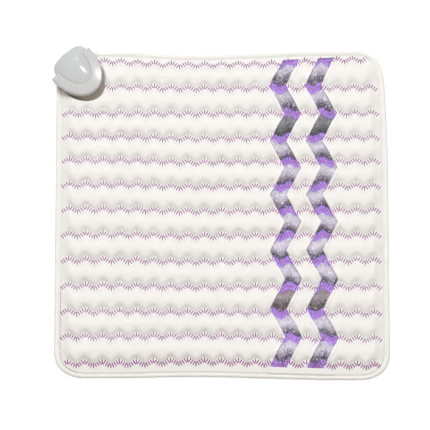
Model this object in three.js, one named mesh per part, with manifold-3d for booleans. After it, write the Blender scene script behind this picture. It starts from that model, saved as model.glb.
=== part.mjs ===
// A square heating mat filled with crushed stones, with a grey connector unit on one corner.
// Millimetres, +Z up. The origin is the centre of the mat's underside, +Y runs to the edge that
// carries the unit, and the unit sits on the corner at -X +Y.
import * as THREE from "three";
import { mergeVertices } from "three/addons/utils/BufferGeometryUtils.js";
import Module from "manifold-3d";

const wasm = await Module();
wasm.setup();

// Clearances that every piece shares
const gap = 0.3; // between pieces that touch
const overrun = 5; // how far a cutting body runs past what it cuts

// The mat's outline
const matSide = 508;
const matCornerRadius = 45;
const pipingDiameter = 7;

// The layers, from the underside up
const baseCoverThickness = 1.2;
const feltThickness = 2.2;
const wireDiameter = 1.6;
const linerThickness = 0.5;
const coverThickness = 1.2;
const filmThickness = 0.7;
const rimHeight = 6.8; // top of the cover where it meets the piping
const valleyHeight = 9; // top of the cover on a stitched row
const crestHeight = 17; // top of the cover between two rows
const edgeFade = 22; // how far in from the edge the cover reaches its full height
const linerInset = 13;

// The stitched rows run along X, with a stone channel between each two
const rowCount = 13;
const firstRowFromEdge = 16.5;
const lastRowFromEdge = 25.9;
const stationShares = [0, 0.18, 0.5, 0.82]; // of a channel's width, from its upper row
const channelRoundnessShare = 0.7;
const fillEndShare = 0.1; // of a channel's width, kept free of stones beside a row
const fillClearance = 0.5;
const fillEndInset = 25;
const stoneEndClearance = 3; // between the first stones and the corner unit
const cornerFillInset = 61;
const cornerAngleShares = [0, 0.25, 0.5, 0.75]; // of the quarter turn of the mat's corner
const stationMerge = 0.2; // two stations closer than this become one

// The two zigzag windows
const windowWidth = 25;
const windowSpacing = 55.5;
const firstWindowInset = 170; // mean place of the first window's left edge, from the mat's right edge
const zigzagSwing = 23;
const zigzagHalfPeriod = 43.3;
const zigzagStartFromEdge = 8.6; // first turn, below the mat's upper edge
const weltWidth = 5.5;
const weltRise = 0.8;
const filmSink = 0.4;
const sideColumnShares = [0, 0.08, 0.2, 0.38, 1]; // of the band between the side edge and the even part
const evenPartInset = 61; // from the side edge, where the cover no longer changes along X

// The heating wire and its leads, all in one thin layer
const wireEndInset = 70; // middle of the wire's bends, in from the cover's edge
const wireStartInset = 110; // from the mat's left edge, clear of the unit
const leadDiameter = 1.6;
const returnLeadInset = 21; // from the cover's side edge
const sensorLeadInset = 26.5;
const crimpLength = 8;
const cutoffSize = { x: 14, y: 5, z: 1.6 };
const sensorSize = { x: 8, y: 4, z: 1.6 };
const sensorInset = 194; // from the mat's left edge
const sensorRun = 4; // the sensor lies after this run of the wire
const leadSpacing = 3; // between two leads where they rise into the unit
const leadApproach = 6.5; // between two leads where they come to the unit

// The corner unit's own axes: +X of its group points to the middle of the mat
const unitInset = { x: 23.2, y: 16.9 }; // middle of its flat end, from the mat's left and upper edges
const unitTurn = THREE.MathUtils.degToRad(-47.6);
const headHalfWidth = 23.7;
const headLength = 39.7;
const headOutlinePower = 2;
const rimMargin = { side: 13, tip: 17.3 }; // from the head to the rim of the shells
const waistFlare = { side: 0.9, tip: 3.5 }; // from the rim to the middle of the lower shell
const footFlare = { side: 2.8, tip: 10.5 }; // from the rim to the foot
const unitOutlinePower = 2.6;
const lowerShellHeight = 12.7;
const upperShellRise = 10.5;
const upperShellCrownShares = [0, 0.25, 0.5, 0.75, 1]; // of the quarter turn from rim to crown
const shellWall = 2.2;
const shellFloor = 2.2;
const footLand = 2; // straight height at the foot
const crownMargin = 2.6; // ring of upper shell left round the head at the crown
const trayFloor = 2.5;
const trayWall = 2;
const plateInset = 4;
const plateThickness = 3;
const plateNotch = { depth: 24.5, halfWidth: 9 }; // in from the tip of the foot
const wireHole = { length: 7.5, tipInset: 7.5, halfWidth: 4.5 };

// The head that pulls out of the unit
const headSplitHeight = 22.5;
const headShoulderHeight = 31;
const headCrownHeight = 36;
const headWall = 2;
const lobeDepth = 17.2;
const lobeHalfWidth = 29;
const lobeRise = 12; // underside of the lobe above the floor
const lobeCrownHeight = 35.2;
const lobeRoundShare = 0.55; // of the lobe's plan, drawn in at its top
const glandRadius = 6;
const glandBoreRadius = 2.6;
const glandFlange = 1; // thickness of the flange outside the lobe

// Contacts, boards and screws
const pinRadius = 1;
const pinPitch = 7;
const pinCount = 3;
const pinHeight = 17;
const pinReach = 14; // how far a pin stands into the head
const dockBlock = { length: 8, halfWidth: 12, height: 11 };
const headBlock = { length: 11, halfWidth: 11, height: 5.5 };
const boardThickness = 1.6;
const boardSize = { length: 26, halfWidth: 14 };
const screwShankRadius = 1.5;
const screwHeadRadius = 3;
const screwHeadHeight = 2.2;
const screwClearance = 0.4;
const sideScrewInset = { side: 12, tip: 40.5 }; // from the foot's side and tip
const frontScrewInset = { side: 22, tip: 16.5 };
const boardScrewPlace = { u: 4, v: 10 };
const boardScrewHeadRadius = 2.2;

// Sizes that follow
const half = matSide / 2;
const rowPitch = (matSide - firstRowFromEdge - lastRowFromEdge) / (rowCount - 1);
const unitPlace = { x: unitInset.x - half, y: half - unitInset.y };
const rimHalfWidth = headHalfWidth + rimMargin.side;
const rimLength = headLength + rimMargin.tip;
const footHalfWidth = rimHalfWidth + footFlare.side;
const footLength = rimLength + footFlare.tip;
const mirrored = ({ u, v }) => [{ u, v }, { u, v: -v }];
const screwPlaces = (inset) => mirrored({ u: footLength - inset.tip, v: footHalfWidth - inset.side });
const dockScrewPlaces = [...screwPlaces(sideScrewInset), ...screwPlaces(frontScrewInset)];
const boardScrewPlaces = mirrored(boardScrewPlace);
const wireHoleMiddle = footLength - wireHole.tipInset - wireHole.length / 2;
const innerHalf = half - pipingDiameter - gap;
const innerRadius = matCornerRadius - pipingDiameter - gap;
const pipingRadius = pipingDiameter / 2;
const feltBottom = baseCoverThickness + gap;
const feltTop = feltBottom + feltThickness;
const wireBottom = feltTop + gap;
const wireLevel = wireBottom + wireDiameter / 2;
const linerBottom = wireBottom + wireDiameter + gap;
const linerTop = linerBottom + linerThickness;
const fillBottom = linerTop + gap;
const firstRow = half - firstRowFromEdge;
const rowY = (index) => firstRow - index * rowPitch;
const lastRow = rowY(rowCount - 1);
const plateBottom = wireBottom;
const plateTop = plateBottom + plateThickness;
const unitBottom = Math.max(plateTop, pipingDiameter) + gap;
const unitFloorTop = unitBottom + shellFloor;
const partingHeight = unitBottom + lowerShellHeight;
const upperShellBottom = partingHeight + gap;
const crownHeight = upperShellBottom + upperShellRise;
const trayBottom = unitFloorTop + gap;
const trayTop = trayBottom + trayFloor;
const headBottom = trayTop + gap;
const headFloorTop = headBottom + headWall;
const boardScrewTip = headBottom + headWall / 2;
const glandHeight = headSplitHeight + gap / 2;

// Materials
const plastic = (color, roughness) => new THREE.MeshStandardMaterial({ color, roughness, metalness: 0 });
const metal = (color, roughness) => new THREE.MeshStandardMaterial({ color, roughness, metalness: 1 });
const coverFabric = plastic(0xf4f1ea, 0.55);
const pipingFabric = plastic(0xf7f5f0, 0.5);
const weltVinyl = plastic(0xfbfafa, 0.25);
const clearFilm = plastic(0xc9c2dd, 0.12);
const baseFabric = plastic(0xe9e6df, 0.8);
const felt = plastic(0xd8d5cf, 0.95);
const linerFabric = plastic(0xe4dff0, 0.8);
const amethyst = plastic(0x6f5a8c, 0.3);
const shellPlastic = plastic(0xcdd0d4, 0.22);
const headPlastic = plastic(0xc3c5c7, 0.2);
const innerPlastic = plastic(0xb9bcc0, 0.5);
const rubber = plastic(0x6b6d70, 0.7);
const wireJacket = plastic(0xf0ece0, 0.5);
const redJacket = plastic(0xb23a34, 0.5);
const sleeveTin = metal(0xc8c9cc, 0.35);
const blackPlastic = plastic(0x2c2d30, 0.5);
const boardLaminate = plastic(0x2f6b4a, 0.45);
const contactBrass = metal(0xd2b35a, 0.3);
const screwSteel = metal(0xb8bbc0, 0.35);

const part = new THREE.Group();
const unit = new THREE.Group();
unit.position.set(unitPlace.x, unitPlace.y, 0);
unit.rotation.z = unitTurn;
part.add(unit);

function addMesh(group, name, geometry, material) {
  const mesh = new THREE.Mesh(geometry, material);
  mesh.name = name;
  group.add(mesh);
  return mesh;
}

// A geometry from corner points and triangles, turned inside out if its faces point inwards.
function bodyFrom(points, triangles) {
  let volume = 0;
  for (const [a, b, c] of triangles) {
    volume += points[a].dot(new THREE.Vector3().crossVectors(points[b], points[c]));
  }
  const flat = triangles.flatMap(([a, b, c]) => (volume < 0 ? [a, c, b] : [a, b, c]));
  const geometry = new THREE.BufferGeometry().setFromPoints(points);
  geometry.setIndex(flat);
  geometry.computeVertexNormals();
  return geometry;
}

// Triangles that close a flat ring of points, all turned the same way round.
function capTriangles(ring) {
  const normal = new THREE.Vector3();
  ring.forEach((p, i) => {
    const q = ring[(i + 1) % ring.length];
    normal.add(new THREE.Vector3().crossVectors(p, q));
  });
  normal.normalize();
  const along = ring[1].clone().sub(ring[0]).normalize();
  const across = new THREE.Vector3().crossVectors(normal, along);
  const flat = ring.map((p) => new THREE.Vector2(p.dot(along), p.dot(across)));
  return THREE.ShapeUtils.triangulateShape(flat, []).map(([a, b, c]) => {
    const ab = flat[b].clone().sub(flat[a]);
    const ac = flat[c].clone().sub(flat[a]);
    return ab.cross(ac) > 0 ? [a, b, c] : [a, c, b];
  });
}

// A body skinned over rings of equal point counts, with both ends closed, or joined to a loop.
function skinned(rings, loop = false) {
  const count = rings[0].length;
  const points = rings.flat();
  const triangles = [];
  const spans = loop ? rings.length : rings.length - 1;
  for (let k = 0; k < spans; k++) {
    const low = k * count;
    const high = ((k + 1) % rings.length) * count;
    for (let i = 0; i < count; i++) {
      const j = (i + 1) % count;
      triangles.push([low + i, low + j, high + j], [low + i, high + j, high + i]);
    }
  }
  if (!loop) {
    const last = (rings.length - 1) * count;
    for (const [a, b, c] of capTriangles(rings[0])) triangles.push([a, c, b]);
    for (const [a, b, c] of capTriangles(rings[rings.length - 1])) {
      triangles.push([last + a, last + b, last + c]);
    }
  }
  return bodyFrom(points, triangles);
}

// Booleans on closed geometries
function solidOf(geometry) {
  const bare = geometry.clone();
  bare.deleteAttribute("normal");
  bare.deleteAttribute("uv");
  const merged = mergeVertices(bare);
  const vertProperties = merged.attributes.position.array;
  const triVerts = new Uint32Array(merged.index.array);
  return new wasm.Manifold(new wasm.Mesh({ numProp: 3, vertProperties, triVerts }));
}

function geometryOf(solid) {
  const mesh = solid.getMesh();
  const geometry = new THREE.BufferGeometry();
  geometry.setAttribute("position", new THREE.BufferAttribute(mesh.vertProperties, 3));
  geometry.setIndex(new THREE.BufferAttribute(mesh.triVerts, 1));
  geometry.computeVertexNormals();
  return geometry;
}

const cut = (body, ...tools) =>
  geometryOf(tools.reduce((solid, tool) => solid.subtract(solidOf(tool)), solidOf(body)));
const joined = (body, ...more) =>
  geometryOf(more.reduce((solid, other) => solid.add(solidOf(other)), solidOf(body)));
const common = (body, other) => geometryOf(solidOf(body).intersect(solidOf(other)));

// A box between two corners, and a round bar between two points
function boxBetween(low, high) {
  const size = high.clone().sub(low);
  const geometry = new THREE.BoxGeometry(size.x, size.y, size.z);
  const middle = low.clone().add(high).divideScalar(2);
  return geometry.translate(middle.x, middle.y, middle.z);
}

function barBetween(start, end, radius, sides = 16) {
  const length = start.distanceTo(end);
  const geometry = new THREE.CylinderGeometry(radius, radius, length, sides);
  const direction = end.clone().sub(start).normalize();
  const turn = new THREE.Quaternion().setFromUnitVectors(new THREE.Vector3(0, 1, 0), direction);
  geometry.applyQuaternion(turn);
  const middle = start.clone().add(end).divideScalar(2);
  return geometry.translate(middle.x, middle.y, middle.z);
}

const at = (x, y, z) => new THREE.Vector3(x, y, z);

// A flat sheet of the mat's rounded square outline
function roundedSquare(halfSide, radius) {
  const inner = halfSide - radius;
  const shape = new THREE.Shape();
  shape.absarc(inner, inner, radius, 0, Math.PI / 2);
  shape.absarc(-inner, inner, radius, Math.PI / 2, Math.PI);
  shape.absarc(-inner, -inner, radius, Math.PI, Math.PI * 1.5);
  shape.absarc(inner, -inner, radius, Math.PI * 1.5, Math.PI * 2);
  return shape;
}

function sheet(halfSide, radius, bottom, thickness) {
  const options = { depth: thickness, bevelEnabled: false, curveSegments: 6 };
  return new THREE.ExtrudeGeometry(roundedSquare(halfSide, radius), options).translate(0, 0, bottom);
}

// The piping, one closed loop round the mat
function pipingLoop() {
  const inner = half - matCornerRadius;
  const pathRadius = matCornerRadius - pipingRadius;
  const cornerSteps = 8;
  const sides = 8;
  const rings = [];
  for (let quarter = 0; quarter < 4; quarter++) {
    const middle = (quarter + 0.5) * (Math.PI / 2);
    const corner = at(Math.sign(Math.cos(middle)) * inner, Math.sign(Math.sin(middle)) * inner, 0);
    for (let step = 0; step <= cornerSteps; step++) {
      const angle = (quarter + step / cornerSteps) * (Math.PI / 2);
      const out = at(Math.cos(angle), Math.sin(angle), 0);
      const centre = corner.clone().addScaledVector(out, pathRadius).setZ(pipingRadius);
      const ring = [];
      for (let side = 0; side < sides; side++) {
        const turn = ((side + 0.5) / sides) * Math.PI * 2;
        const flatFoot = pipingRadius / Math.cos(Math.PI / sides);
        const point = centre.clone().addScaledVector(out, flatFoot * Math.cos(turn));
        ring.push(point.setZ(centre.z + flatFoot * Math.sin(turn)));
      }
      rings.push(ring);
    }
  }
  return skinned(rings, true);
}

// The cover's surface: channels between the rows that sink to the rim at the edge
function edgeDistance(x, y) {
  const qx = Math.abs(x) - (innerHalf - innerRadius);
  const qy = Math.abs(y) - (innerHalf - innerRadius);
  const corner = Math.hypot(Math.max(qx, 0), Math.max(qy, 0));
  return innerRadius - corner - Math.min(Math.max(qx, qy), 0);
}

function channelHeight(y) {
  if (y >= firstRow || y <= lastRow) return valleyHeight;
  const share = ((firstRow - y) / rowPitch) % 1;
  return valleyHeight + (crestHeight - valleyHeight) * (4 * share * (1 - share)) ** channelRoundnessShare;
}

function coverHeight(x, y) {
  const inward = THREE.MathUtils.clamp(edgeDistance(x, y) / edgeFade, 0, 1);
  const fade = inward * inward * (3 - 2 * inward);
  return rimHeight + (channelHeight(y) - rimHeight) * fade;
}

// Y stations of every cover piece: rows, channel shape, window turns and corner arcs
function coverStations(withCorners) {
  const stations = [innerHalf, -innerHalf];
  for (let row = 0; row < rowCount; row++) stations.push(rowY(row));
  const turns = [];
  for (let y = half - zigzagStartFromEdge; y > -innerHalf; y -= zigzagHalfPeriod) turns.push(y);
  const extra = [];
  for (let row = 0; row < rowCount - 1; row++) {
    for (const share of stationShares.slice(1)) extra.push(rowY(row) - share * rowPitch);
  }
  for (const share of withCorners ? cornerAngleShares : []) {
    const y = innerHalf - innerRadius * (1 - Math.sin((1 - share) * (Math.PI / 2)));
    extra.push(y, -y);
  }
  const all = [...stations, ...turns];
  for (const y of extra) {
    if (all.every((other) => Math.abs(other - y) > stationMerge)) all.push(y);
  }
  const distinct = [...new Set(all)].filter((y) => Math.abs(y) <= innerHalf);
  return distinct.sort((a, b) => b - a);
}

const sideStations = coverStations(true);
const stripStations = coverStations(false);

function zigzag(y) {
  const turn = (half - zigzagStartFromEdge - y) / zigzagHalfPeriod;
  const step = Math.floor(turn);
  const share = turn - step;
  const from = step % 2 === 0 ? 1 : -1;
  return (zigzagSwing / 2) * (from - 2 * from * share);
}

const sideEdge = (y) => {
  const depth = Math.max(Math.abs(y) - (innerHalf - innerRadius), 0);
  return innerHalf - innerRadius + Math.sqrt(Math.max(innerRadius ** 2 - depth ** 2, 0));
};
const windowEdge = (index, y) => half - firstWindowInset + index * windowSpacing + zigzag(y);

// A piece of the cover: columns(y) gives its X places from left to right at a station
function coverPiece(stations, columns, rise, thickness) {
  const top = stations.map((y) => columns(y).map((x) => at(x, y, coverHeight(x, y) + rise)));
  const under = top.map((row) => row.map((p) => p.clone().setZ(p.z - thickness)));
  const wide = top[0].length;
  const tall = top.length;
  const points = [...top.flat(), ...under.flat()];
  const topIndex = (j, i) => j * wide + i;
  const underIndex = (j, i) => tall * wide + topIndex(j, i);
  const triangles = [];
  const quad = (a, b, c, d) => triangles.push([a, b, c], [a, c, d]);
  for (let j = 0; j < tall - 1; j++) {
    for (let i = 0; i < wide - 1; i++) {
      quad(topIndex(j, i), topIndex(j + 1, i), topIndex(j + 1, i + 1), topIndex(j, i + 1));
      quad(underIndex(j, i), underIndex(j, i + 1), underIndex(j + 1, i + 1), underIndex(j + 1, i));
    }
    const last = wide - 1;
    quad(topIndex(j, 0), underIndex(j, 0), underIndex(j + 1, 0), topIndex(j + 1, 0));
    quad(topIndex(j, last), topIndex(j + 1, last), underIndex(j + 1, last), underIndex(j, last));
  }
  const end = tall - 1;
  for (let i = 0; i < wide - 1; i++) {
    quad(topIndex(0, i), topIndex(0, i + 1), underIndex(0, i + 1), underIndex(0, i));
    quad(topIndex(end, i), underIndex(end, i), underIndex(end, i + 1), topIndex(end, i + 1));
  }
  return bodyFrom(points, triangles);
}

const stripColumns = (start, width) => (y) => [start(y) + gap / 2, start(y) + width - gap / 2];

// The unit's plan outline, a flat cut at its start and a round tip, at a given level
function unitOutline(halfWidth, length, start, level, power = unitOutlinePower) {
  const steps = 16;
  const ring = [];
  for (let i = 0; i <= steps; i++) {
    const angle = (i / steps - 0.5) * Math.PI;
    const reach = Math.max(Math.cos(angle), 0) ** (2 / power);
    ring.push(at(start + (length - start) * reach, halfWidth * Math.sin(angle), level));
  }
  return ring;
}

// The unit's lower shell, grown or shrunk by a margin
const lowerLevels = [
  { halfWidth: footHalfWidth, length: footLength, level: unitBottom },
  { halfWidth: footHalfWidth, length: footLength, level: unitBottom + footLand },
  {
    halfWidth: rimHalfWidth + waistFlare.side,
    length: rimLength + waistFlare.tip,
    level: unitBottom + lowerShellHeight / 2,
  },
  { halfWidth: rimHalfWidth, length: rimLength, level: partingHeight },
];

function lowerShell() {
  const outer = skinned(lowerLevels.map((l) => unitOutline(l.halfWidth, l.length, 0, l.level)));
  const hollow = lowerLevels.map((l) =>
    unitOutline(l.halfWidth - shellWall, l.length - shellWall, shellWall, Math.max(l.level, unitFloorTop)),
  );
  hollow.shift();
  const foot = lowerLevels[0];
  const floorRing = unitOutline(foot.halfWidth - shellWall, foot.length - shellWall, shellWall, unitFloorTop);
  const lidRing = hollow[hollow.length - 1].map((p) => p.clone().setZ(partingHeight + overrun));
  const inner = skinned([floorRing, ...hollow.slice(1), lidRing]);
  const mouthHalf = headHalfWidth + trayWall + 2 * gap;
  const mouth = boxBetween(
    at(-overrun, -mouthHalf, unitFloorTop),
    at(shellWall + overrun, mouthHalf, partingHeight + overrun),
  );
  const holes = dockScrewPlaces.map((p) =>
    barBetween(at(p.u, p.v, unitBottom - overrun), at(p.u, p.v, unitFloorTop + overrun),
      screwShankRadius + screwClearance),
  );
  const wires = boxBetween(
    at(wireHoleMiddle - wireHole.length / 2, -wireHole.halfWidth, unitBottom - overrun),
    at(wireHoleMiddle + wireHole.length / 2, wireHole.halfWidth, unitFloorTop + overrun),
  );
  return cut(outer, inner, mouth, ...holes, wires);
}

// The upper shell rises from the rim to the crown round the head's pocket
function crownRings(margin, lift) {
  return upperShellCrownShares.map((share) => {
    const angle = share * (Math.PI / 2);
    const inward = 1 - Math.cos(angle);
    const crownHalf = headHalfWidth + crownMargin;
    const crownLength = headLength + crownMargin;
    const halfWidth = rimHalfWidth + (crownHalf - rimHalfWidth) * inward - margin;
    const length = rimLength + (crownLength - rimLength) * inward - margin;
    const level = upperShellBottom + (upperShellRise - lift) * Math.sin(angle);
    return unitOutline(halfWidth, length, margin, level);
  });
}

function upperShell() {
  const outer = skinned(crownRings(0, 0));
  const innerRings = crownRings(shellWall, shellWall);
  const below = innerRings[0].map((p) => p.clone().setZ(upperShellBottom - overrun));
  const inner = skinned([below, ...innerRings]);
  const skirtHalf = headHalfWidth + gap + trayWall;
  const skirtLength = headLength + gap + trayWall;
  const skirt = skinned([
    unitOutline(skirtHalf, skirtLength, 0, upperShellBottom, headOutlinePower),
    unitOutline(skirtHalf, skirtLength, 0, crownHeight, headOutlinePower),
  ]);
  const pocketHalf = headHalfWidth + gap;
  const pocketRing = (level) =>
    unitOutline(pocketHalf, headLength + gap, 0, level, headOutlinePower);
  const pocket = skinned([pocketRing(upperShellBottom - overrun), pocketRing(crownHeight + overrun)]);
  const mouth = boxBetween(
    at(-overrun, -pocketHalf, upperShellBottom - overrun),
    at(gap, pocketHalf, crownHeight + overrun),
  );
  return cut(joined(cut(outer, inner), common(outer, skirt)), pocket, mouth);
}

// The tray that the head slides on, with a low wall round it
function socketTray() {
  const outerHalf = headHalfWidth + gap + trayWall;
  const outerLength = headLength + gap + trayWall;
  const ring = (halfWidth, length, start, level) =>
    unitOutline(halfWidth, length, start, level, headOutlinePower);
  const wallTop = partingHeight;
  const outerRing = (level) => ring(outerHalf, outerLength, 0, level);
  const outer = skinned([outerRing(trayBottom), outerRing(wallTop)]);
  const pocketHalf = headHalfWidth + gap;
  const pocket = skinned([
    ring(pocketHalf, headLength + gap, 0, trayTop),
    ring(pocketHalf, headLength + gap, 0, wallTop + overrun),
  ]);
  const mouth = boxBetween(
    at(-overrun, -pocketHalf, trayTop),
    at(gap, pocketHalf, wallTop + overrun),
  );
  const pinSlot = boxBetween(
    at(headLength - overrun, -pinPitch * pinCount / 2, pinHeight - 2 * pinRadius),
    at(headLength + overrun, pinPitch * pinCount / 2, wallTop + overrun),
  );
  return cut(outer, pocket, mouth, pinSlot);
}

// The plate inside the mat that the unit is screwed to
function clampPlate() {
  const ring = (level) =>
    unitOutline(footHalfWidth - plateInset, footLength - plateInset, plateInset, level);
  const blank = skinned([ring(plateBottom), ring(plateTop)]);
  const notch = boxBetween(
    at(footLength - plateNotch.depth, -plateNotch.halfWidth, plateBottom - overrun),
    at(footLength + overrun, plateNotch.halfWidth, plateTop + overrun),
  );
  const holes = dockScrewPlaces.map((p) =>
    barBetween(at(p.u, p.v, plateBottom - overrun), at(p.u, p.v, plateTop + overrun),
      screwShankRadius + screwClearance),
  );
  const clearOfPiping = sheet(innerHalf, innerRadius, plateBottom - overrun, plateThickness + 2 * overrun);
  clearOfPiping.translate(-unitPlace.x, -unitPlace.y, 0);
  clearOfPiping.rotateZ(-unitTurn);
  return common(cut(blank, notch, ...holes), clearOfPiping);
}

function screw(place, bottom, seat, headRadius) {
  const shank = barBetween(at(place.u, place.v, bottom), at(place.u, place.v, seat + gap), screwShankRadius);
  const head = barBetween(
    at(place.u, place.v, seat),
    at(place.u, place.v, seat + screwHeadHeight),
    headRadius,
  );
  return joined(shank, head);
}

// The head's plan: a U that fits the pocket and a wider lobe outside the cut
function headRings(margin, levels) {
  return levels.map(({ drawn, level }) =>
    unitOutline(headHalfWidth - margin - drawn, headLength - margin - drawn, -gap, level, headOutlinePower),
  );
}

function lobeRings(margin, levels) {
  return levels.map(({ drawn, level }) => {
    const depth = (lobeDepth - margin) * (1 - drawn);
    const halfWidth = (lobeHalfWidth - margin) * (1 - drawn);
    return unitOutline(halfWidth, depth, gap, level, headOutlinePower).map((p) => p.setX(-p.x));
  });
}

const domeDraw = headHalfWidth / 2; // how far the head's plan is drawn in at its crown
const domeShares = [0.35, 0.7, 1]; // of the quarter turn from the shoulder to the crown
const domeLevels = (base, rise, draw) =>
  domeShares.map((share) => {
    const angle = share * (Math.PI / 2);
    return { drawn: draw * (1 - Math.cos(angle)), level: base + rise * Math.sin(angle) };
  });

function headSolid(margin) {
  const crown = headCrownHeight - margin;
  const bodyLevels = [
    { drawn: 0, level: headBottom + margin },
    { drawn: 0, level: headShoulderHeight - margin },
    ...domeLevels(headShoulderHeight - margin, crown - headShoulderHeight + margin, domeDraw),
  ];
  const lobeLevels = [
    { drawn: 0, level: lobeRise + margin },
    { drawn: 0, level: headSplitHeight },
    ...domeLevels(headSplitHeight, lobeCrownHeight - margin - headSplitHeight, lobeRoundShare),
  ];
  const body = skinned(headRings(margin, bodyLevels));
  const lobe = skinned(lobeRings(margin, lobeLevels));
  const neckHalf = headHalfWidth - 2 * headWall - margin;
  const neck = boxBetween(
    at(-lobeDepth / 2, -neckHalf, headBottom + margin),
    at(headWall + gap, neckHalf, headShoulderHeight - margin),
  );
  return joined(body, neck, lobe);
}

const headHalf = (solid, low, high) =>
  common(solid, boxBetween(at(-matSide, -matSide, low), at(matSide, matSide, high)));

function headShells() {
  const outer = headSolid(0);
  const inner = headSolid(headWall);
  const splitLow = headSplitHeight;
  const splitHigh = headSplitHeight + gap;
  const holeEnd = at(-lobeDepth / 2, 0, glandHeight);
  const glandHole = barBetween(at(-lobeDepth - overrun, 0, glandHeight), holeEnd, glandNeck + gap, 20);
  const lower = cut(
    headHalf(outer, 0, splitLow),
    headHalf(inner, 0, splitLow + overrun),
    boxBetween(
      at(headLength - headBlock.length, -pinPitch * pinCount / 2, pinHeight - 2 * pinRadius),
      at(headLength + overrun, pinPitch * pinCount / 2, pinHeight + 2 * pinRadius),
    ),
    glandHole,
    ...boardScrewPlaces.map((p) =>
      barBetween(at(p.u, p.v, boardScrewTip - gap), at(p.u, p.v, splitLow), screwShankRadius + screwClearance),
    ),
  );
  const upper = cut(
    headHalf(outer, splitHigh, headCrownHeight + overrun),
    headHalf(inner, splitHigh - overrun, headCrownHeight),
    glandHole,
  );
  return { lower, upper };
}

// The soft ring that a supply cord enters by: a groove between two flanges holds it in the wall
const glandNeck = glandBoreRadius + 2 * (glandRadius - glandBoreRadius) / 3;

function cordGland() {
  const wallOutside = -lobeDepth - gap;
  const outside = wallOutside - glandFlange;
  const wallInside = -lobeDepth + headWall + 3 * gap;
  const inside = wallInside + headWall;
  const bar = (from, to, radius) => barBetween(at(from, 0, glandHeight), at(to, 0, glandHeight), radius, 20);
  const flange = bar(outside, wallOutside, (glandRadius + glandNeck) / 2);
  const neck = bar(outside, inside, glandNeck);
  const bore = bar(outside - overrun, inside + overrun, glandBoreRadius);
  return cut(joined(neck, flange), bore);
}

// Contacts
const pinOffsets = Array.from({ length: pinCount }, (_, i) => (i - (pinCount - 1) / 2) * pinPitch);
const blockStart = headLength + gap + trayWall + gap;

function contactBlock() {
  const block = boxBetween(
    at(blockStart, -dockBlock.halfWidth, unitFloorTop + gap),
    at(blockStart + dockBlock.length, dockBlock.halfWidth, unitFloorTop + gap + dockBlock.height),
  );
  const boreEnd = blockStart + dockBlock.length / 2 + gap;
  const bores = pinOffsets.map((v) =>
    barBetween(at(blockStart - overrun, v, pinHeight), at(boreEnd, v, pinHeight), pinRadius + gap, 12),
  );
  return cut(block, ...bores);
}

const contactPin = (v) =>
  barBetween(at(headLength - pinReach, v, pinHeight), at(blockStart + dockBlock.length / 2, v, pinHeight),
    pinRadius, 12);

const headBlockShare = headBlock.halfWidth / (headHalfWidth - headWall);
const headBlockEnd = (headLength - headWall) * Math.sqrt(1 - headBlockShare ** 2) - gap;

function headContactBlock() {
  const bottom = headFloorTop + gap;
  const block = boxBetween(
    at(headBlockEnd - headBlock.length, -headBlock.halfWidth, bottom),
    at(headBlockEnd, headBlock.halfWidth, bottom + headBlock.height),
  );
  const bores = pinOffsets.map((v) =>
    barBetween(at(headLength - pinReach - gap, v, pinHeight), at(headBlockEnd + overrun, v, pinHeight),
      pinRadius + gap, 12),
  );
  return cut(block, ...bores);
}

function headBoard() {
  const bottom = headFloorTop + gap;
  const end = headBlockEnd - headBlock.length - gap;
  const blank = boxBetween(
    at(end - boardSize.length, -boardSize.halfWidth, bottom),
    at(end, boardSize.halfWidth, bottom + boardThickness),
  );
  const holes = boardScrewPlaces.map((p) =>
    barBetween(at(p.u, p.v, bottom - overrun), at(p.u, p.v, bottom + overrun),
      screwShankRadius + screwClearance),
  );
  return cut(blank, ...holes);
}

// The wire runs to and fro under the channels
function sweptTube(points, radius, sides) {
  const rings = points.map((p, i) => {
    const before = points[Math.max(i - 1, 0)];
    const after = points[Math.min(i + 1, points.length - 1)];
    const arriving = (i === 0 ? after.clone().sub(p) : p.clone().sub(before)).normalize();
    const leaving = (i === points.length - 1 ? p.clone().sub(before) : after.clone().sub(p)).normalize();
    const ahead = arriving.clone().add(leaving).normalize();
    const side = at(-ahead.y, ahead.x, 0).normalize();
    const lift = new THREE.Vector3().crossVectors(side, ahead).negate();
    const stretch = 1 / Math.max(ahead.dot(leaving), 0.5);
    return Array.from({ length: sides }, (_, k) => {
      const turn = ((k + 0.5) / sides) * Math.PI * 2;
      return p
        .clone()
        .addScaledVector(side, radius * stretch * Math.cos(turn))
        .addScaledVector(lift, radius * Math.sin(turn));
    });
  });
  return skinned(rings);
}

const channelMiddle = (index) => rowY(index) - rowPitch / 2;
const wireTurnX = innerHalf - wireEndInset;

function heatingWire() {
  const turnRadius = rowPitch / 2;
  const turnSteps = 6;
  const lastRun = rowCount - 2;
  const points = [at(wireStartInset - half, channelMiddle(0), wireLevel)];
  for (let run = 0; run < lastRun; run++) {
    const side = run % 2 === 0 ? 1 : -1;
    for (let step = 0; step <= turnSteps; step++) {
      const angle = (0.5 - step / turnSteps) * Math.PI;
      const y = channelMiddle(run) - turnRadius + turnRadius * Math.sin(angle);
      points.push(at(side * (wireTurnX + turnRadius * Math.cos(angle)), y, wireLevel));
    }
  }
  points.push(at(-wireTurnX, channelMiddle(lastRun), wireLevel));
  return sweptTube(points, wireDiameter / 2, 6);
}

// Places in the mat of points given on the unit's axes
const inMat = (u, v, z) =>
  at(u, v, 0).applyAxisAngle(at(0, 0, 1), unitTurn).add(at(unitPlace.x, unitPlace.y, z));
const leadBend = 3 * leadDiameter;

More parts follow.
